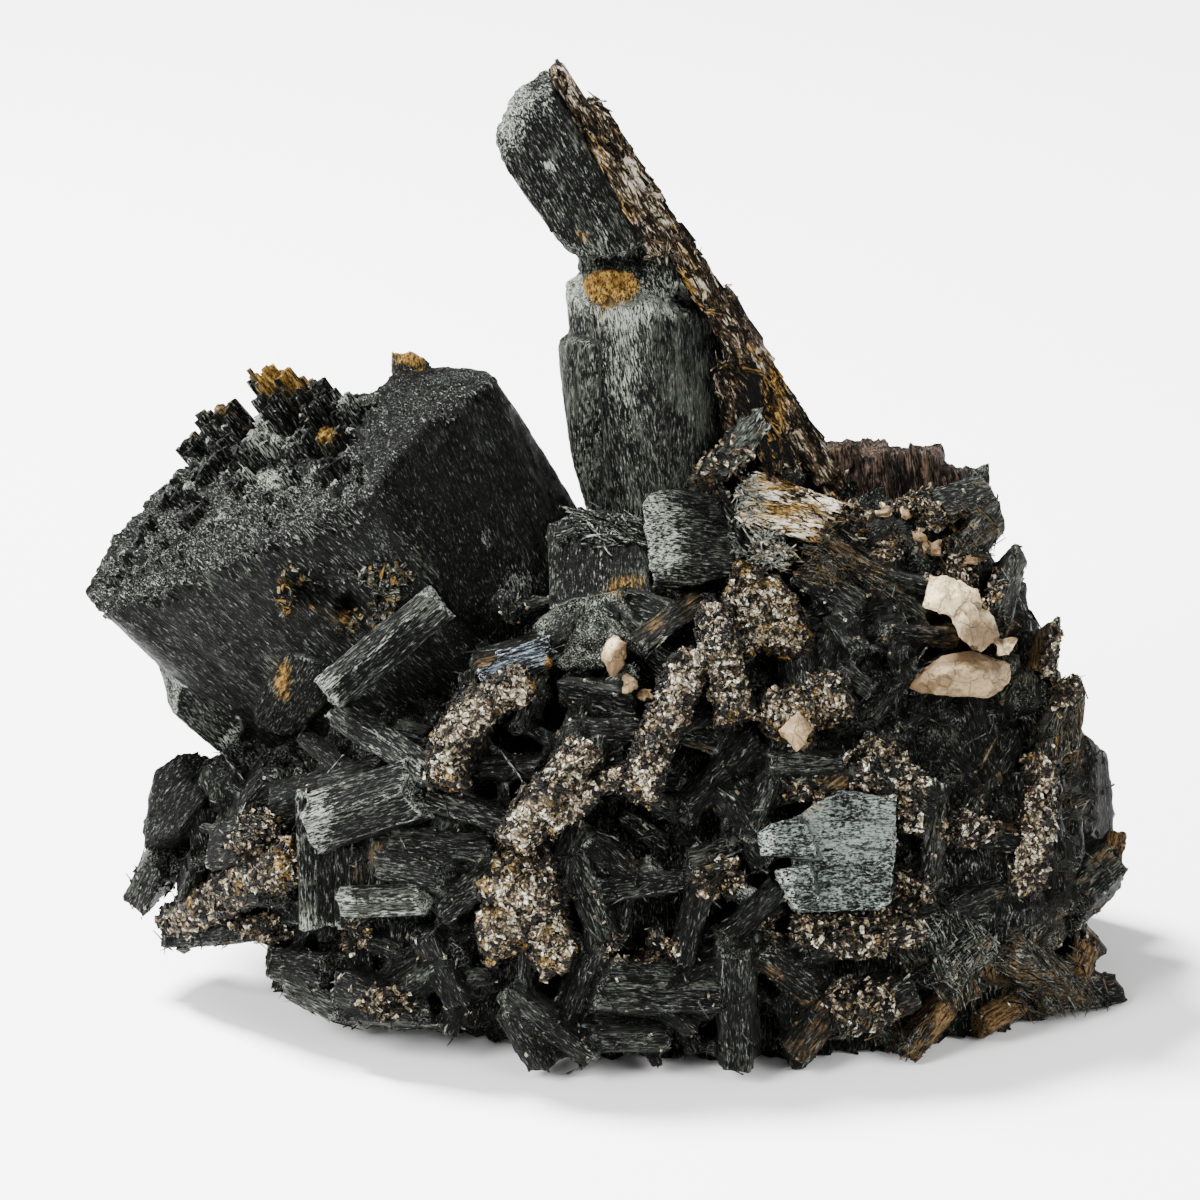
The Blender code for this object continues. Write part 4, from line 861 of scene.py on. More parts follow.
# ---- Crystals in the middle ------------------------------------------------
# A squat prism turned to the left with a frosted end, a cream and orange splintered bundle at its
# far end, a dull six-sided crystal below it, and two fresh shiny laths.
squat_skin = grown([
    block([(4.0, 46.4, 27), (5.0, 47.7, 26), (8.0, 48.2, 22), (8.2, 40.9, 28), (6.0, 38.9, 30),
           (4.8, 39.9, 30), (8.5, 48.3, 13), (14.6, 46.9, 17), (15.0, 42.0, 21),
           (13.5, 39.4, 24), (9.0, 38.0, 27), (14.0, 44.0, 10), (7.0, 42.0, 14)],
          (14.5, 43, 18), (5, 44, 27), shade=0.55, frost=0.7, fuzz=0.3, creep=1.8)],
    voxel=0.3, seed=80, worn=4)
frayed_skin = grown([
    blade((14.0, 45.9, 21), (22.5, 43.6, 20), 4.0, 5, 21, shade=0.8),
    blade((14.4, 48.8, 19), (24.0, 45.6, 19), 3.0, 5, 22, shade=0.8),
    blade((15.6, 42.4, 23), (19.5, 40.4, 23), 3.2, 4, 23, shade=0.7),
    blade((20.0, 45.8, 19), (26.0, 43.6, 18), 2.6, 4, 24, rust=0.6),
], voxel=0.3, seed=90)
frayed_skin = together([frayed_skin, grit(frayed_skin, 800, (0.14, 0.45), (2.5, 8), 91,
                                          along=(0.9, 0, -0.25), stray=0.2, rust=(0, 0.7),
                                          point=0.3)])
mark(frayed_skin, 1, [(17.0, 48.6, 2.4, 1.2), (22.5, 43.0, 3.0, 1.6), (16.4, 45.6, 2.6, 1.0),
                      (20.4, 46.0, 2.4, 1.0)], 0.6)
PALE_CREAM = (0.72, 0.66, 0.53, 1)
piece("splintered_bundle", frayed_skin, splintered("pale_split", PALE_CREAM), "rusty_amphibole",
      "frayed_crystal")

# White fibres stand out of the squat prism's far end, where the bundle splits away from it.
FLUFF = dict(along=(0.8, -0.2, -0.2), stray=0.7, point=0.4, wear=(0.6, 1.0), shade=(0.5, 1))
squat_skin = together([
    squat_skin,
    grit(squat_skin, 250, (0.12, 0.40), (2.5, 8), 81, lay=0.5, spots=[(14.4, 45.0, 1.6, 4.4)],
         **FLUFF),
    grit(frayed_skin, 650, (0.10, 0.34), (3, 9), 82, lay=0.7,
         spots=[(14.8, 46.8, 1.7, 2.4), (16.8, 42.0, 2.2, 2.0)], **FLUFF)])
mark(squat_skin, 0, [(6.0, 43.5, 2.4, 5.4), (15.5, 44.0, 1.5, 4.0)], 0.62)
piece("squat_prism", squat_skin, grey_amphibole, "grey_amphibole", "squat_crystal")

hexagon_skin = grown([
    block([(-7.5, 32.4, 27), (-6.5, 34.6, 27), (-3.0, 37.0, 26.5), (2.0, 37.8, 26),
           (4.2, 33.4, 28), (0.2, 30.0, 29), (-4.0, 30.0, 29), (-5.0, 36.5, 15),
           (3.0, 38.0, 14), (5.0, 34.0, 16), (0.0, 29.0, 17), (-6.0, 31.0, 16)],
          (-1, 34, 15), (-1.5, 34, 28), shade=0.75, frost=0.6, steps=0.5),
    block([(-5.0, 36.0, 24), (-5.2, 44.6, 18.5), (-2.0, 46.2, 17), (4.6, 45.2, 19),
           (5.4, 37.0, 24), (0.6, 35.8, 26), (0.0, 45.0, 21), (-4.0, 37.0, 12),
           (-3.0, 44.0, 10), (4.0, 44.0, 10), (5.0, 37.0, 12)],
          (0, 37, 20), (0, 45, 17), shade=0.25, frost=0.6)], voxel=0.32, seed=100)
hexagon_skin = together([hexagon_skin, grit(
    hexagon_skin, 220, (0.15, 0.45), (4, 10), 101, along=(0.9, -0.1, -0.3), stray=0.35, lay=0.6,
    point=0.4, spots=[(1.5, 44.6, 4.0, 2.4)], wear=(0, 0.7), shade=(0, 0.5))])
mark(hexagon_skin, 1, [(2.0, 38.2, 2.4, 1.4)], 0.5)
piece("six_sided_crystal", hexagon_skin, grey_amphibole, "grey_amphibole", "hexagonal_crystal")

# The mass that all the crystals stand on bulges forward, and slopes back above its shoulder.
MOUND_MIDDLE = 4.0
MOUND_HALF_WIDTH = 52.0
MOUND_FRONT = 31.0
MOUND_SHOULDER = 12.0
MOUND_RISE = 43.0        # from the shoulder to the top
MOUND_BACK = 36.0        # how far the top lies behind the shoulder


def front(right, up, lift=0.0):
    """A board place on the mass's front, raised by `lift`."""
    out = MOUND_FRONT
    side = MOUND_FRONT * abs((right - MOUND_MIDDLE) / MOUND_HALF_WIDTH) ** 2.5
    for _ in range(4):
        height = up * LEAN_COS + out * LEAN_SIN
        slope = MOUND_BACK * (max(0.0, height - MOUND_SHOULDER) / MOUND_RISE) ** 2
        out = (up * LEAN_SIN + MOUND_FRONT - side - slope) / LEAN_COS
    return right, up, out + lift


LATH = dict(turn=20, sides=5, pits=0.05, grooves=0.18, frost=0.5)
glossy_skin = grown([
    prism(front(-12.4, 29.2, 0.8), front(-5.0, 31.2, 0.8), 2.4, 5, seed=31, **LATH),
    prism(front(-10.5, 30.8, 1.0), front(-4.4, 32.6, 1.0), 2.2, 5, seed=32, **LATH)],
    voxel=0.25, seed=110)
mark(glossy_skin, 1, [(-4.4, 30.2, 1.3, 1.2)])
# The palest fresh tone colours the laths' frosted edges and their painted glints: painted
# highlights standing in for their blue-silver shine.
FRESH_TONES = (0.006, 0.008, 0.011, 1), (0.080, 0.105, 0.130, 1), (0.66, 0.71, 0.74, 1)
piece("shiny_laths", glossy_skin, amphibole("glossy_amphibole", *FRESH_TONES, gloss=0.22),
      "glossy_amphibole", "glossy_crystal")

# ---- Prisms at the front left ----------------------------------------------
# Black amphibole prisms that lie across each other in front of the stout crystal, their edges and
# broken ends rubbed pale.
BLACK_TONES = (0.0042, 0.0044, 0.0036, 1), (0.038, 0.041, 0.034, 1), (0.26, 0.28, 0.24, 1)
BLACK_STAINS = (0.018, 0.011, 0.005, 1), (0.105, 0.070, 0.033, 1)
black_amphibole = amphibole("black_amphibole", *BLACK_TONES, stains=BLACK_STAINS)


def black_prism(name, node, crystals, seed, spots=()):
    skin = grown(crystals, voxel=0.26, seed=seed)
    mark(skin, 0, spots, 0.6)
    piece(name, skin, black_amphibole, "black_amphibole", node)


# Each prism: its foot and tip on the mass's front, its width and depth, how far it is turned, its
# shade, and the spots rubbed pale on it.
BLACK_PRISMS = {
    "leaning": ((-27.3, 27.2, 4.5), (-15.9, 36.9, 5.5), 4.6, 5.0, 15, 0.45,
                [(-27.6, 27.6, 1.5, 2.4)]),
    "crossing": ((-26.4, 26.0, 1.5), (-16.6, 19.3, 2.5), 3.5, 4.0, 10, 0.45, []),
    "broad": ((-29.2, 14.4, 2.5), (-17.4, 18.4, 2.0), 7.0, 6.0, 5, 0.35,
              [(-28.2, 14.5, 1.5, 3.6)]),
    "low": ((-26.4, 6.7, 2.5), (-17.0, 7.0, 1.5), 3.6, 4.0, 5, 0.5, [(-26.0, 6.8, 1.5, 2.0)]),
}
for k, (kind, (foot, tip, width, depth, turn, shade, pale)) in enumerate(BLACK_PRISMS.items()):
    black_prism(f"{kind}_black_prism", f"{kind}_prism",
                [prism(front(*foot), front(*tip), width, depth, turn=turn, seed=41 + k,
                       shade=shade)], 120 + k, pale)
black_prism("upright_black_lath", "upright_lath",
            [prism(front(-29.0, 3.6, 1.5), front(-29.4, 17.8, 1.5), 2.6, 6.0, turn=0, sides=4,
                   seed=45, rough=0.03, shade=0.5),
             prism(front(-27.0, 4.0, 0.0), front(-27.0, 12.6, 0.0), 4.5, 3.0, turn=0, sides=4,
                   seed=46, shade=0.2)], 124, [(-29.0, 4.2, 1.4, 1.4)])
black_prism("far_black_prism", "dark_prism",
            [block([(-44.5, 19.9, 13), (-42.0, 21.6, 12), (-40.0, 21.7, 11), (-37.6, 20.4, 10),
                    (-39.5, 16.9, 15), (-42.0, 13.9, 16), (-45.6, 11.9, 14), (-45.8, 14.9, 12),
                    (-44.0, 16.9, 6), (-38.0, 14.0, 4), (-42.0, 10.9, 5), (-38.6, 20.0, 2)],
                   (-44.5, 13, 10), (-39, 20, 8), shade=0.25, frost=0.1),
             prism((-38.5, 8.5, 13), (-39.8, 16.0, 12), 3.4, 5.0, turn=10, seed=47,
                   shade=0.3)], 125)

# ---- Rods and lumps under a granular crust ---------------------------------
# Old crystals coated in a sugary crust of tan, white, brown and black grains about half a
# millimetre across.
CRUST_BLACK = (0.003, 0.0028, 0.0024, 1)
CRUST_BROWN = (0.060, 0.041, 0.023, 1)
CRUST_TAN = (0.275, 0.220, 0.136, 1)
CRUST_WHITE = (0.640, 0.600, 0.485, 1)


def granular(name):
    """A crust of small grains, each with its own colour."""
    paint = Paint(name, 0.18)
    cells = {"Vector": paint.fibre, "Scale": 2.0}
    grain = paint.part(paint.node("ShaderNodeTexVoronoi", {}, cells, 1), "X")
    rim = paint.node("ShaderNodeTexVoronoi", {"feature": "DISTANCE_TO_EDGE"}, cells)
    cloud = paint.noise((0.3, 0.3, 0.3), 3.0, 0.6)
    fine = paint.noise((3.5, 3.5, 3.5), 3.0, 0.7)
    tone = grain * 0.5 + paint.shade * 0.5 + (cloud - 0.5) * 1.8 + (fine - 0.5) * 0.5
    colour = paint.mix(tone.between(0.44, 0.56), CRUST_BLACK, CRUST_BROWN)
    colour = paint.mix(tone.between(0.59, 0.71), colour, CRUST_TAN)
    colour = paint.mix(tone.between(0.76, 0.90), colour, CRUST_WHITE)
    stained = (paint.rust + paint.wear + (cloud - 0.5) * 1.4).between(0.35, 0.85)
    colour = paint.mix(stained * 0.6, colour, ORANGE)
    colour = paint.mix(rim.between(0.01, 0.09) * 0.8 + 0.2, CRUST_BLACK, colour)
    height = rim.between(0.0, 0.22) * 0.8 + fine * 0.8
    return paint.finish(colour, 0.3 + grain * 0.4, height, 0.5)


ROD_OVERLAP = 0.9        # how far the lengths of a bent rod run into each other


def rod(path, width, depth, seed):
    """A bent, knobbly rod along board places: short lengths that run into each other."""
    rng = random.Random(seed)
    bodies = []
    for k in range(len(path) - 1):
        start, end = Vector(path[k]), Vector(path[k + 1])
        over = (end - start).normalized() * ROD_OVERLAP
        fat = rng.uniform(0.88, 1.12)
        bodies.append(prism(start - over, end + over, width * fat, depth * fat, sides=7,
                            turn=rng.uniform(0, 50), seed=seed + k, rough=0.12, pits=0.6,
                            grooves=0.05, steps=0.5))
    return bodies


def lump(middle, size, seed, points=13, **looks):
    """A knobbly grain: the hull of uneven points round an ellipsoid."""
    rng = random.Random(seed)
    centre = board(*middle)
    corners = []
    for k in range(points):
        z = 1 - (2 * k + 1) / points
        angle = k * math.pi * (3 - math.sqrt(5)) + rng.uniform(-0.3, 0.3)
        flat = math.sqrt(1 - z * z)
        reach = rng.uniform(0.82, 1.12) * MM / 2
        corners.append(centre + Vector((math.cos(angle) * flat * size[0] * reach,
                                        math.sin(angle) * flat * size[1] * reach,
                                        z * size[2] * reach)))
    return Crystal(corners, Vector((0, 0, 1)), pits=0.7, grooves=0.05, steps=0.0, **looks)


def crusted(name, node, bodies, grains, seed):
    """A crusted piece with loose grains on it, painted paler where it faces the viewer and darker
    where it turns away: painted light and shade.
    """
    skin = grown(bodies, voxel=0.34, seed=seed)
    skin = together([skin, grit(skin, grains, (0.18, 0.50), (0.8, 2.2), seed, wear=(0, 0)),
                     grit(skin, grains // 8, (0.5, 1.0), (0.8, 1.8), seed + 1, wear=(0, 0))])
    # The crust is painted paler where it faces the viewer and darker on its sides and underside:
    # painted light and shade.
    shown = np.clip(skin.ways @ np.array(OUTWARD), 0, 1)
    skin.looks[:, 2] = np.clip(skin.looks[:, 2] + 0.9 * shown - 0.55, 0, 1)
    piece(name, skin, crust, "granular_crust", node)


crust = granular("granular_crust")
# Each rod: places along it on the mass's front, its width and its depth.
CRUSTED_RODS = {
    "coated_rod_left": ([(-41.4, 4.9, 0), (-39.0, 6.2, 0.5), (-34.5, 9.0, 1), (-31.0, 10.6, 1)],
                        4.2, 5.0),
    "coated_rod_upper": ([(-15.2, 18.8, 4), (-14.9, 22.6, 4), (-12.2, 26.2, 4), (-8.4, 28.4, 3)],
                         4.3, 4.6),
    "coated_rod_middle": ([(-8.6, 12.8, 3), (-5.6, 16.8, 4), (-2.0, 21.4, 3)], 4.0, 4.4),
    "coated_rod_right": ([(4.0, 17.6, 3.5), (5.8, 23.2, 4), (9.0, 30.2, 4)], 4.0, 4.4),
    "coated_rod_short": ([(11.4, 35.6, 4), (12.0, 31.0, 4), (13.4, 25.8, 3)], 3.8, 4.2),
    "coated_rod_flank": ([(44.2, 20.4, 2), (43.6, 14.4, 3), (42.4, 8.6, 2)], 3.8, 5.0),
}
# A thin bridge of crust runs from the middle rod to the right one.
BRANCH = [(-4.6, 14.4, 3), (-1.4, 17.2, 3.6), (1.4, 19.2, 3.6), (4.6, 18.4, 3.2)]
branch = rod([front(*place) for place in BRANCH], 1.7, 2.4, seed=77)
for name, (path, width, depth) in CRUSTED_RODS.items():
    bodies = rod([front(*place) for place in path], width, depth, seed=len(name))
    if name == "coated_rod_middle":
        bodies += branch
    crusted(name.replace("coated", "crusted"), name, bodies, 1150, 130 + len(name))
# Each lump: the middles and sizes of the knobs that it is made of.
CRUSTED_LUMPS = {
    "coated_lump": [((-7.4, 6.6, 1), (9.5, 9, 12)), ((-9.6, 4.4, 1.5), (6, 7, 8)),
                    ((-5.0, 2.6, 1), (6, 7, 7))],
    "coated_cluster": [((16.0, 36.4, 1), (8, 8, 6)), ((18.6, 33.6, 1), (7, 7, 6)),
                       ((14.6, 33.4, 1), (5, 6, 5)), ((14.8, 38.6, 0), (5, 6, 5))],
    "coated_knot": [((19.0, 25.4, 1.5), (7.5, 7, 6)), ((22.2, 26.8, 1), (6, 6, 7)),
                    ((19.8, 23.8, 2), (4.2, 3, 4.6))],
}
for name, knobs in CRUSTED_LUMPS.items():
    bodies = [lump(front(*place), size, seed=k + len(name))
              for k, (place, size) in enumerate(knobs)]
    crusted(name.replace("coated", "crusted"), name, bodies, 1600, 150 + len(name))

# ---- The pale plate --------------------------------------------------------
# A broken plate of bleached amphibole that faces forward, its fibres running across it, with white
# frayed tongues on its left side.


def sheet(outline, thickness, lift, **looks):
    """A flat plate with a convex outline of places on the mass's front."""
    faces = [front(right, up, lift) for right, up in outline]
    out = sum(place[2] for place in faces) / len(faces)
    corners = [board(right, up, out - depth) for right, up, _ in faces
               for depth in (0, thickness)]
    return Crystal(corners, Vector((1, 0, 0.02)), **looks)


plate_skin = grown([
    sheet([(20.0, 15.4), (22.0, 16.9), (24.2, 18.0), (29.5, 17.0), (29.6, 12.0), (29.0, 6.8),
           (28.0, 5.9), (19.6, 5.6), (18.7, 7.0), (19.4, 11.0)], 3.4, 2.6, shade=0.6),
    sheet([(15.5, 13.4), (17.0, 14.4), (20.0, 15.4), (22.0, 11.0), (16.0, 11.3)], 3.0, 2.4),
    sheet([(17.4, 9.9), (18.0, 8.0), (19.6, 5.6), (22.0, 7.0), (21.0, 10.4)], 3.0, 2.3)],
    voxel=0.26, seed=170)
mark(plate_skin, 0, [(16.2, 12.6, 1.4, 1.8), (18.6, 7.8, 1.0, 2.6)], 0.7)
mark(plate_skin, 1, [(21.5, 16.6, 2.4, 1.6), (20.4, 12.6, 1.2, 0.8)], 0.3)
PALE_TONES = (0.026, 0.031, 0.028, 1), (0.145, 0.172, 0.156, 1), (0.40, 0.44, 0.40, 1)
piece("bleached_plate", plate_skin, amphibole("pale_amphibole", *PALE_TONES, short=2.4),
      "pale_amphibole", "pale_plate")

# ---- Feldspar --------------------------------------------------------------
# Grains of cream feldspar with pinkish-tan undersides: an angular one, a rounded one beneath it,
# a chip among the middle crystals with crumbs of it about, and a tan crystal on the crusted knot.
CREAM = (0.50, 0.405, 0.240, 1)
DEEP_CREAM = (0.25, 0.18, 0.092, 1)
CREAM_STAIN = (0.100, 0.063, 0.030, 1)
CREAM_HOLLOW = (0.12, 0.075, 0.05, 1)


def creamy(name):
    """Cream feldspar, clouded and stained brown, with fine cracks and hollows."""
    paint = Paint(name, 0.2)
    cloud = paint.noise((0.35, 0.35, 0.35), 4.0, 0.6)
    fine = paint.noise((1.6, 1.6, 1.6), 4.0, 0.7)
    drift = paint.node("ShaderNodeTexNoise", {}, {"Vector": paint.fibre, "Scale": 0.8}, 1)
    bent = paint.node("ShaderNodeVectorMath", {"operation": "ADD"}, {0: paint.fibre, 1: drift})
    crack = paint.node("ShaderNodeTexVoronoi", {"feature": "DISTANCE_TO_EDGE"},
                       {"Vector": bent, "Scale": 0.42}).between(0.0, 0.03)
    colour = paint.mix((cloud + (fine - 0.5) * 0.5).between(0.40, 0.60), DEEP_CREAM, CREAM)
    stained = (paint.rust + (cloud - 0.5) * 1.2 + (fine - 0.5) * 0.9).between(0.35, 0.8)
    colour = paint.mix(stained, colour, CREAM_STAIN)
    hollow = fine.between(0.30, 0.40) * (0.7 + crack * 0.3)
    colour = paint.mix(hollow, CREAM_HOLLOW, colour)
    return paint.finish(colour, 0.45 + cloud * 0.2, cloud + fine * 0.6 + crack * 0.3, 0.5)


feldspar = creamy("feldspar")


def cream_grain(name, crystals, seed, stain, spots, *nodes):
    """A piece of feldspar stained all over, and more so in some spots."""
    skin = grown(crystals, voxel=0.28, seed=seed)
    skin.looks[:, 1] = stain
    mark(skin, 1, spots, 0.7)
    piece(name, skin, feldspar, "feldspar", *nodes)


CLEAN = dict(grooves=0.05, pits=0.18, steps=0.3)
# Feldspar crumbs by the splintered bundle: right, up and length.
FELDSPAR_TRAIL = [(28.4, 46.0, 2.0), (30.6, 45.6, 1.1), (32.0, 43.6, 1.8), (33.4, 42.2, 1.4),
                  (36.6, 41.0, 3.2), (32.4, 42.4, 1.0)]
cream_grain("feldspar_angular", [
    block([(32.2, 36.2, 28), (33.6, 38.0, 27), (32.7, 39.3, 26), (34.4, 39.6, 26),
           (36.0, 38.1, 26), (37.8, 37.9, 25), (38.2, 36.6, 26), (35.0, 35.3, 29),
           (33.8, 35.7, 28.6), (34.6, 37.4, 29.6), (33.4, 38.0, 21), (36.8, 37.8, 20),
           (34.4, 36.0, 20), (37.4, 36.6, 20), (35.0, 37.0, 17), (37.0, 37.0, 17)],
          (35, 35, 22), (35, 39, 22), **CLEAN),
    block([(35.0, 35.3, 28.6), (36.9, 36.7, 28), (38.5, 36.2, 26), (39.7, 34.4, 25),
           (39.8, 33.2, 25.5), (38.1, 31.4, 27), (36.0, 32.9, 28.8), (35.8, 34.4, 29.4),
           (36.2, 35.4, 20), (39.4, 34.4, 19), (37.6, 32.0, 20), (36.4, 33.0, 21),
           (37.0, 35.0, 16), (39.0, 34.0, 16), (38.0, 32.6, 17)],
          (36, 32, 22), (38, 37, 22), **CLEAN),
    block([(39.5, 32.9, 26), (41.1, 32.4, 25.4), (40.9, 31.3, 25.4), (39.6, 31.2, 26.4),
           (40.6, 33.6, 24), (41.9, 33.2, 23), (40.5, 32.0, 17)],
          (40, 31, 22), (41, 34, 22), **CLEAN)],
    180, 0.14, [(38.0, 33.4, 2.2, 1.8), (41.2, 33.4, 1.2, 0.8)], "feldspar_star")
cream_grain("feldspar_rounded", [
    block([(30.6, 28.0, 25), (31.5, 29.9, 25), (34.0, 31.4, 25), (37.3, 31.9, 24.4),
           (39.6, 31.2, 24), (41.1, 30.5, 23), (41.2, 29.2, 23), (40.2, 27.8, 24),
           (38.8, 27.0, 25), (36.4, 27.2, 26.6), (33.6, 27.2, 27), (34.0, 29.4, 29.4),
           (38.5, 29.6, 28.6), (36.6, 30.6, 28.4), (32.4, 29.0, 20), (33.8, 30.6, 19),
           (39.8, 30.6, 18), (40.2, 28.4, 19), (36.0, 27.8, 20), (35.0, 29.5, 16),
           (39.0, 29.5, 15)],
          (31, 29, 24), (41, 30, 22), **CLEAN)],
    181, 0.64, [(34.2, 28.8, 0.8, 0.5), (31.5, 28.6, 1.6, 1.2), (35.0, 31.4, 3.0, 0.8)],
    "feldspar_bean")
cream_grain("feldspar_small", [
    block([(0.0, 31.0, 33), (0.2, 33.2, 32), (1.4, 33.8, 31), (2.8, 32.6, 32),
           (2.5, 30.4, 34), (1.2, 29.0, 34), (1.0, 31.6, 35.4), (1.4, 31.5, 26)],
          (1, 29, 32), (1, 33, 31), **CLEAN),
    lump((3.0, 28.6, 33.0), (1.5, 3.0, 1.4), seed=31),
    lump((4.6, 27.2, 31.5), (2.0, 4.0, 1.8), seed=32)]
    + [lump(front(right, up, 1.0), (long, 4.5, long * 0.7), seed=33 + k, points=8)
       for k, (right, up, long) in enumerate(FELDSPAR_TRAIL)],
    182, 0.1, [(1.8, 30.2, 1.6, 1.8), (2.8, 31.8, 1.0, 2.0), (4.6, 27.2, 1.6, 1.6),
               (33.0, 43.0, 9.0, 7.0)], "feldspar_chip")
cream_grain("tan_crystal", [
    block([front(19.7, 26.0, 5.0), front(21.7, 24.0, 5.2), front(19.8, 21.6, 5.2),
           front(17.5, 23.8, 5.0), front(19.5, 23.7, 6.4), front(19.6, 23.7, 0.0)],
          (19.6, 21, 30), (19.6, 26, 30), **CLEAN)], 183, 0.70, [])

# ---- The brown block -------------------------------------------------------
# A weathered brown crystal at the top right of the mass, split into upright columns.
COLUMN_TOPS = [(23.6, 52.9), (26.6, 52.4), (29.6, 52.6), (32.4, 52.2), (34.6, 50.4)]
columns = []
rng = random.Random(61)
for k, (right, up) in enumerate(COLUMN_TOPS):
    columns.append(prism((right + 1.0, up - 9.0, 8 - k * 0.6), (right, up, 9 - k * 0.8), 4.6,
                         rng.uniform(10, 13), turn=8, sides=5, seed=k + 62, grooves=0.4,
                         steps=1.0, rust=0.3, frost=0.3, shade=0.5))
brown_skin = grown(columns, voxel=0.36, seed=190)
BROWN_TONES = (0.020, 0.0135, 0.0095, 1), (0.095, 0.066, 0.047, 1), (0.18, 0.14, 0.11, 1)
BROWN_STAINS = (0.03, 0.015, 0.007, 1), (0.12, 0.065, 0.03, 1)
piece("brown_columns", brown_skin,
      amphibole("brown_amphibole", *BROWN_TONES, stains=BROWN_STAINS),
      "brown_amphibole", "brown_block")

# ---- The mass they all grow from -------------------------------------------
# A jumble of black amphibole prisms grown through each other round a solid middle, with crumbs and
# splinters of amphibole and granular crust in the hollows between them.
#
# The larger prisms of the front: foot and tip as right, up and lift, then width and depth.
FRONT_PRISMS = [
    ((-16.8, 17.0, 1.5), (-8.2, 14.6, 1.5), 3.4, 4.0),
    ((-20.8, 12.7, 1.5), (-9.6, 12.1, 0.5), 3.3, 4.0),
    ((-21.6, 10.4, 1.5), (-14.0, 9.0, 1.5), 4.4, 4.0),
    ((-13.6, -3.6, 0.5), (-17.8, 4.8, 1.0), 4.0, 4.5),
    ((-9.4, -1.8, 1.0), (-0.4, -8.8, 1.5), 3.6, 4.0),
    ((-1.2, -6.9, 0.5), (7.2, -6.8, 0.5), 3.0, 5.0),
    ((-0.4, -1.8, 0.5), (12.2, -2.4, 0.5), 6.8, 6.0),
    ((13.9, -9.4, 0.5), (13.4, 3.6, 1.5), 4.6, 5.0),
    ((8.0, 0.8, 1.5), (10.6, 9.2, 2.0), 2.8, 4.0),
    ((0.0, 7.8, 0.5), (8.4, 8.8, 0.5), 2.8, 4.0),
    ((16.0, 20.8, 0.5), (24.6, 20.8, 1.0), 2.8, 4.0),
    ((-12.2, 20.2, 1.5), (-5.2, 20.2, 1.5), 2.8, 3.6),
    ((-3.2, 23.9, 1.0), (4.8, 23.8, 1.0), 3.2, 4.0),
    ((-4.0, 28.0, 1.0), (4.0, 26.4, 1.0), 3.4, 4.0),
    ((-5.0, 42.6, -1.0), (1.0, 45.0, -1.0), 3.0, 4.0),
    ((3.0, 31.5, 1.5), (10.4, 36.6, 1.0), 3.6, 4.4),
    ((22.0, 43.0, 1.0), (33.0, 34.5, 0.5), 3.0, 4.4),
    ((24.0, 40.0, 0.5), (33.6, 37.6, 1.0), 3.0, 4.0),
    ((20.0, 39.6, 1.5), (26.0, 35.6, 1.5), 4.6, 5.0),
    ((23.4, 34.8, 1.5), (26.6, 31.0, 2.0), 3.2, 4.4),
    ((27.0, 33.8, 1.0), (35.2, 33.2, 1.0), 2.8, 4.0),
    ((29.0, 32.2, 1.0), (31.8, 30.8, 1.5), 2.6, 3.4),
    ((25.6, 21.4, 1.0), (32.6, 15.4, 1.0), 6.0, 6.0),
    ((14.2, 12.0, 0.5), (17.2, 19.4, 1.0), 3.0, 4.0),
    ((8.4, 10.4, 0.0), (13.4, 12.0, 0.0), 3.6, 4.0),
    ((33.8, 14.6, 1.0), (40.6, 13.2, 1.0), 3.6, 4.4),
    ((32.6, 8.0, 0.5), (33.8, 18.8, 0.5), 3.0, 5.0),
    ((19.4, 2.6, 1.0), (32.6, 5.2, 1.0), 6.0, 6.0),
    ((22.4, -5.0, 1.0), (30.2, -2.0, 1.0), 5.4, 6.0),
    ((30.2, -8.6, 0.5), (34.8, -3.2, 1.0), 3.6, 5.0),
    ((36.6, -6.4, 0.5), (41.4, -3.4, 1.0), 3.6, 5.0),
    ((33.6, -0.8, 1.0), (38.2, 3.6, 1.0), 5.4, 5.0),
    ((39.2, 2.8, 1.0), (46.2, -1.6, 1.0), 5.0, 5.0),
    ((42.4, -3.2, 1.0), (49.8, -2.0, 0.5), 4.2, 5.0),
    ((46.6, -2.4, 1.0), (48.6, 3.0, 1.0), 4.0, 6.0),
    ((45.4, 5.8, 1.0), (50.6, 10.4, 1.5), 6.2, 6.0),
    ((50.2, 7.6, 1.5), (51.4, 13.4, 0.5), 2.8, 6.0),
    ((46.4, 20.8, 1.5), (47.2, 27.6, 1.0), 3.0, 6.0),
    ((43.4, 17.8, 1.0), (46.4, 27.6, 1.0), 3.6, 5.0),
    ((43.8, 28.6, 1.0), (44.6, 33.0, 0.5), 3.0, 5.0),
    ((38.8, 32.6, 1.5), (40.8, 39.4, 0.5), 3.6, 6.0),
    ((34.6, 40.0, 0.5), (38.0, 43.8, 0.0), 4.6, 7.0),
    ((30.0, 44.8, 0.5), (37.6, 47.0, -1.0), 5.0, 7.0),
    ((-45.0, 8.4, 0.5), (-42.6, 13.0, 0.5), 4.6, 6.0),
    ((-41.2, 7.6, 1.5), (-39.6, 12.4, 1.5), 2.8, 4.0),
    ((-37.0, 12.4, 0.0), (-32.0, 13.2, 0.5), 6.4, 7.0),
    ((-34.8, 7.6, 1.5), (-30.6, 7.2, 1.5), 3.0, 4.0),
    ((-41.0, 3.4, -1.0), (-30.6, 4.4, 0.0), 2.8, 5.0),
    ((-31.4, 0.6, 0.0), (-25.6, 0.0, 0.5), 4.4, 5.0),
    ((-30.0, -1.8, 0.5), (-24.6, -4.2, 0.5), 4.0, 5.0),
    ((-25.4, -1.6, 0.5), (-19.4, -3.8, 1.0), 5.0, 6.0),
    ((-24.0, -4.4, 0.5), (-16.4, -4.6, 0.5), 3.0, 6.0),
    ((-36.0, 14.4, -4.0), (-31.0, 21.0, -4.0), 5.6, 7.0),
]
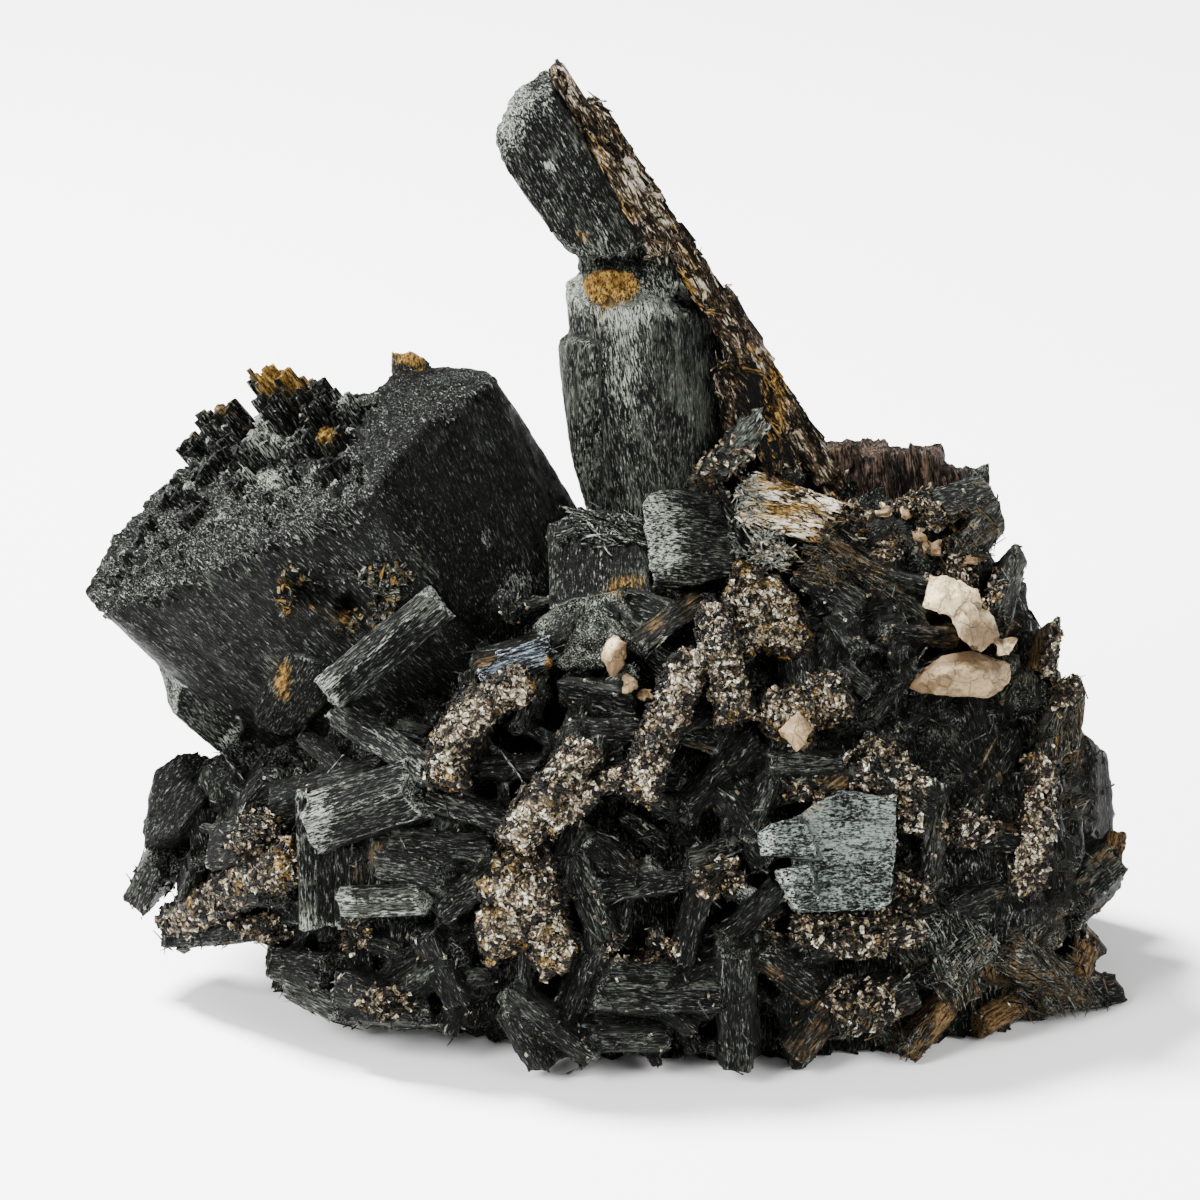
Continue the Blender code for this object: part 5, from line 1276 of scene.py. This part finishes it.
# The outline of the solid middle: height, then its reach to the left, right, front and back.
HEART_LEVELS = [
    (-3, -17, 46, 27.5, 27),
    (5, -32, 48, 29, 29),
    (13, -39, 50, 30, 29),
    (22, -35, 47, 28.5, 28),
    (31, -24, 44, 23, 26),
    (40, -9, 39, 14, 23),
    (47, 4, 34, 6.5, 19),
    (50, 14, 30, 0, 16),
]
HEART_SIDES = 10
HEART_OVERLAP = 0.5
HEART_SUNK = 2.8
ROOT = 5                 # how much deeper the front prisms are rooted than they stand out
# Rings of prisms round the sides and the back: height, arc in degrees and number.
JUMBLE_RINGS = [(4, 150, 8), (14, 160, 9), (25, 185, 9), (35, 190, 7), (42, 195, 4)]
JUMBLE_START = 3
JUMBLE_SUNK = 1.5
SHARDS = 240
SHARD_TOP = 44
SHARD_ARC = (-25, 190)
RUSTS = [0, 0, 0, 0.1, 0.2, 0.35]
# Rows of smaller prisms over the front: up, and from left to right.
FILL_STEP = 13.0
FILL_LIFT = -1.5
FILL_ROWS = [(-5, -4, 34), (1, -18, 46), (7, -24, 48), (13, -26, 48), (19, -26, 46),
             (25, -16, 44), (31, -8, 42), (37, 8, 38), (43, 14, 34)]
CHIP_STEP = 4.6
CHIP_ROWS = [(-6, 0, 36), (-1, -20, 46), (4, -30, 48), (9, -38, 48), (14, -38, 49),
             (19, -36, 47), (24, -20, 45), (29, -12, 43), (34, -6, 41), (39, 6, 36),
             (43, 12, 32)]


def mass_edge(angle, height, lift, sunk=0.0):
    """World place on the mass's outline at a height, in millimetres; its front can be sunk."""
    levels = np.array(HEART_LEVELS)
    left, right, ahead, behind = [np.interp(height, levels[:, 0], levels[:, k])
                                  for k in range(1, 5)]
    ahead = ahead - sunk
    middle = (left + right) / 2, (behind - ahead) / 2
    half = (right - left) / 2 + lift, (behind + ahead) / 2 + lift
    way = math.cos(angle), math.sin(angle)
    return Vector([middle[k] + half[k] * math.copysign(abs(way[k]) ** 0.8, way[k])
                   for k in range(2)] + [height])


def heart():
    """The solid middle of the mass, in slices that run into each other."""
    rng = random.Random(71)
    rings = []
    for height, *_ in HEART_LEVELS:
        rings.append([mass_edge(math.tau * (k + rng.uniform(-0.2, 0.2)) / HEART_SIDES, height,
                                rng.uniform(-1.2, 0.8), HEART_SUNK)
                      for k in range(HEART_SIDES)])
    slices = []
    for low, high in zip(rings, rings[1:]):
        corners = [corner - Vector((0, 0, HEART_OVERLAP)) for corner in low] + high
        slices.append(Crystal([corner * MM for corner in corners], Vector((0, 0, 1)),
                              pits=1.4, grooves=0.3, steps=0.0, shade=0.35, frost=0.3))
    return slices


def wild_prism(middle, height, flat, lengths, widths, rng, tint, shades):
    """A crystal that lies nearly flat along the mass's side, some way or other."""
    away = (middle - Vector((MOUND_MIDDLE, 0, height * 0.6))).normalized()
    lie = Vector([rng.uniform(-1, 1) for _ in range(3)])
    axis = (lie - away * lie.dot(away) * rng.uniform(flat, 1.0)).normalized()
    length, width = rng.uniform(*lengths), rng.uniform(*widths)
    looks = dict(shade=tint.uniform(*shades), rust=tint.choice(RUSTS), frost=0.45)
    across = axis.orthogonal().normalized()
    behind = axis.cross(across)
    depth, turn = width * rng.uniform(0.6, 1.0), rng.uniform(0, math.tau)
    corners = []
    for way in (-1, 1):
        end = (middle + axis * (way * length / 2)) * MM
        for corner in ring(end, across, behind, width, depth, 5, turn, rng, 0.06):
            corners.append(corner + axis * (rng.uniform(-1, 1) * CHIP * width * MM))
    return Crystal(corners, axis, **looks)


def jumble():
    """Prisms grown every way on the sides and the back of the mass."""
    rng, tint = random.Random(81), random.Random(82)
    bodies = []
    for height, arc, count in JUMBLE_RINGS:
        for k in range(count):
            angle = math.radians(arc * (k + rng.uniform(0.2, 0.8)) / count + JUMBLE_START)
            middle = mass_edge(angle, height + rng.uniform(-3, 3), -JUMBLE_SUNK)
            bodies.append(wild_prism(middle, height, 0.5, (10, 17), (5, 8.5), rng, tint,
                                     (0.2, 0.6)))
    return bodies


def shards():
    """Lesser prisms all over the sides and the back."""
    rng = random.Random(97)
    bodies = []
    for _ in range(SHARDS):
        height = SHARD_TOP * rng.random() ** 0.8
        angle = math.radians(rng.uniform(*SHARD_ARC))
        middle = mass_edge(angle, height, rng.uniform(-2.0, -0.3))
        bodies.append(wild_prism(middle, height, 0.6, (4, 10), (1.8, 4.5), rng, rng, (0.1, 0.7)))
    return bodies


def strewn(rows, step, wander, drift, reach, rng):
    """Feet and tips of prisms that lie every way in rows over the front."""
    for up, left, right in rows:
        for k in range(int((right - left) / step) + 1):
            middle = Vector((left + step * (k + rng.uniform(-wander, wander)),
                             up + rng.uniform(-drift, drift), 0))
            angle = rng.uniform(0, math.pi)
            half = Vector((math.cos(angle), math.sin(angle), 0)) * rng.uniform(*reach)
            yield (middle - half).xy, (middle + half).xy


def fill():
    """Small prisms that lie every way between the larger ones of the front."""
    rng, tint = random.Random(91), random.Random(92)
    bodies = []
    for foot, tip in strewn(FILL_ROWS, FILL_STEP, 0.3, 2, (3.5, 6), rng):
        bodies.append(prism(front(*foot, FILL_LIFT + rng.uniform(-1, 1)),
                            front(*tip, FILL_LIFT + rng.uniform(-1, 1)),
                            rng.uniform(3, 5), rng.uniform(5, 7), turn=rng.uniform(0, 60),
                            sides=4, seed=rng.randrange(999), shade=tint.uniform(0.0, 0.45),
                            rust=tint.choice(RUSTS), frost=0.5))
    return bodies


def chips():
    """Lesser prisms and shards wedged between the rest of the front."""
    rng = random.Random(95)
    bodies = []
    for foot, tip in strewn(CHIP_ROWS, CHIP_STEP, 0.5, 2.5, (1.6, 4.2), rng):
        lift = rng.uniform(-3.5, -0.8)
        bodies.append(prism(front(*foot, lift + rng.uniform(-1.5, 1.5)),
                            front(*tip, lift + rng.uniform(-1.5, 1.5)),
                            rng.uniform(1.2, 3.2), rng.uniform(1.6, 4), sides=5,
                            turn=rng.uniform(0, 60), seed=rng.randrange(999),
                            shade=rng.uniform(0.0, 0.8), rust=rng.choice(RUSTS),
                            frost=rng.uniform(0.0, 1.0)))
    return bodies


tint = random.Random(101)
sink = Vector((0, 0, ROOT / 2))
front_prisms = []
for k, (foot, tip, width, depth) in enumerate(FRONT_PRISMS):
    front_prisms.append(prism(Vector(front(*foot)) - sink, Vector(front(*tip)) - sink, width,
                              depth + ROOT, turn=8 * (k % 4), sides=5 if k % 3 else 4,
                              seed=100 + k, frost=0.6, shade=tint.uniform(0.2, 0.55),
                              rust=tint.choice(RUSTS)))

# Rounded grains of dark amphibole in the hollows of the front: place, then size.
DARK_LUMPS = [((22.5, 39.2, 1.5), (5.6, 5, 4.6)), ((25.0, 33.4, 2.0), (3.2, 3, 4.2)),
              ((30.4, 31.4, 1.6), (2.6, 2.4, 2.8)), ((-34.0, 12.8, 1.5), (6, 4, 5)),
              ((-9.2, 36.4, 1.4), (4.4, 3, 4.0)), ((-37.6, 19.0, -4.0), (6, 8, 7)),
              ((-35.4, 5.6, -3.0), (6, 7, 4))]
lumps = [lump(front(*place), size, seed=k + 5, frost=0.1, shade=0.35)
         for k, (place, size) in enumerate(DARK_LUMPS)]
# A knobbly grey branch climbs beside the foot of the tall crystal.
knobs = dict(sides=6, rough=0.2, pits=0.6, grooves=0.1, shade=1.0, frost=1.0, fuzz=0.8)
lumps += [prism((8.6, 48.4, 18), (12.8, 51.0, 20), 2.8, 3.4, seed=301, **knobs),
          prism((12.0, 50.4, 20), (16.2, 55.6, 21), 3.2, 3.4, seed=302, **knobs)]
shown = front_prisms + fill() + chips() + lumps
MIDDLE_LINE = 6.0
left_part = [body for body in shown if body.origin[0] < MIDDLE_LINE]
right_part = [body for body in shown if body.origin[0] >= MIDDLE_LINE]

# Where the mass is stained brown, where its splinters are pale, and where crumbs are packed in it.
BROWN_SIDE = [(46, 12, 12, 30), (38, -6, 14, 7), (30, 46, 12, 7)]
PALE_SHEAVES = [(35.5, 1, 4, 4), (42.5, 1.4, 5, 3.5), (45, -3.8, 3.5, 2.5), (49, -2.4, 2.5, 2.5)]
CRUST_PATCHES = [
    (20.3, 17.9, 2.4, 1.6), (28.8, 20.0, 4.5, 3.2), (31.2, 18.0, 1.4, 6.0), (30.5, 6.5, 2.5, 4.0),
    (22.0, 4.4, 6.0, 1.6), (26.0, -3.6, 4.0, 2.6), (26.0, 3.6, 6.5, 2.4), (27.5, 47.5, 6.0, 3.0),
    (36.5, 38.5, 4.0, 3.0), (-34.0, 12.9, 3.2, 3.0), (-33.5, 4.2, 3.5, 1.3),
    (-24.5, 3.5, 1.4, 1.8), (-21.5, -3.6, 3.0, 1.6), (0.0, 17.8, 4.0, 1.4), (12.0, 9.0, 2.4, 2.4),
    (37.0, 14.1, 3.2, 1.8), (31.0, 43.5, 5.0, 3.5), (46.0, 30.0, 2.0, 5.0), (12.0, 50.5, 3.5, 3.5),
    (-21.0, 39.5, 2.6, 2.2), (-8.0, 11.0, 3.0, 2.0), (4.0, 2.0, 4.0, 1.5)]
# Sheaves of splinters: their way, their most wear and rust, and where they lie.
SHEAVES = [((0.45, -0.1, -0.8), 0.7, 0.4, [(35.5, 1.0, 4.5, 4.5)]),
           ((0.85, -0.1, -0.45), 0.7, 0.4, [(43.0, 1.4, 5.0, 4.0)]),
           ((0.5, 0.0, -0.7), 0.55, 0.6, [(46.0, -3.4, 4.5, 3.0)]),
           ((0.3, 0.0, 0.8), 0.5, 0.8, [(28.0, -6.5, 5.0, 2.5)]),
           ((0.2, 0.1, 0.9), 0.4, 0.8, [(47.0, 22.0, 3.0, 9.0)]),
           ((0.7, 0.0, -0.6), 0.5, 0.9, [(29.0, 45.5, 5.0, 3.5), (36.0, 43.0, 4.0, 4.0)]),
           ((0.8, 0.0, -0.4), 0.6, 0.9, [(24.0, 41.0, 5.0, 3.0)])]
MASS_STAINS = (0.024, 0.013, 0.005, 1), (0.155, 0.097, 0.040, 1)
black_matrix = amphibole("matrix_amphibole", *BLACK_TONES, stains=MASS_STAINS)
crumb_skins = []


def mass_piece(name, bodies, voxel, seed, crumbs, packed, splinters):
    """A part of the mass with splinters on it; the crumbs on it are kept for a piece of theirs."""
    skin = grown(bodies, voxel, seed=seed)
    crumb_skins.append(grit(skin, crumbs, (0.15, 0.45), (0.8, 2.2), seed + 1, wear=(0, 0),
                            shade=(0, 0.85)))
    if packed:
        crumb_skins.append(grit(skin, packed, (0.25, 0.75), (0.8, 2.2), seed + 3, wear=(0, 0),
                                rust=(0, 0.5), spots=CRUST_PATCHES, lay=0.2))
    skin = together([skin, grit(skin, splinters, (0.12, 0.40), (3, 10), seed + 2, wear=(0, 0.5),
                                shade=(0, 0.8), point=0.4)])
    mark(skin, 1, BROWN_SIDE, 0.3)
    mark(skin, 0, PALE_SHEAVES, 0.25)
    if packed:
        skin = together([skin] + [
            grit(skin, 450, (0.10, 0.28), (5, 11), seed + 10 + k, along=way, stray=0.14, point=0.4,
                 spots=spots, wear=(0, wear), rust=(0, rust), lay=0.96)
            for k, (way, wear, rust, spots) in enumerate(SHEAVES) if within(skin, spots).any()])
    piece(name, skin, black_matrix, "matrix_amphibole", "matrix")


mass_piece("matrix_front_left", left_part, 0.46, 200, 1100, 1300, 1300)
mass_piece("matrix_front_right", right_part, 0.46, 500, 1300, 3600, 1300)
mass_piece("matrix_body", heart() + jumble() + shards(), 0.80, 800, 1000, 0, 1000)
piece("crumbs", together(crumb_skins), crust, "granular_crust")
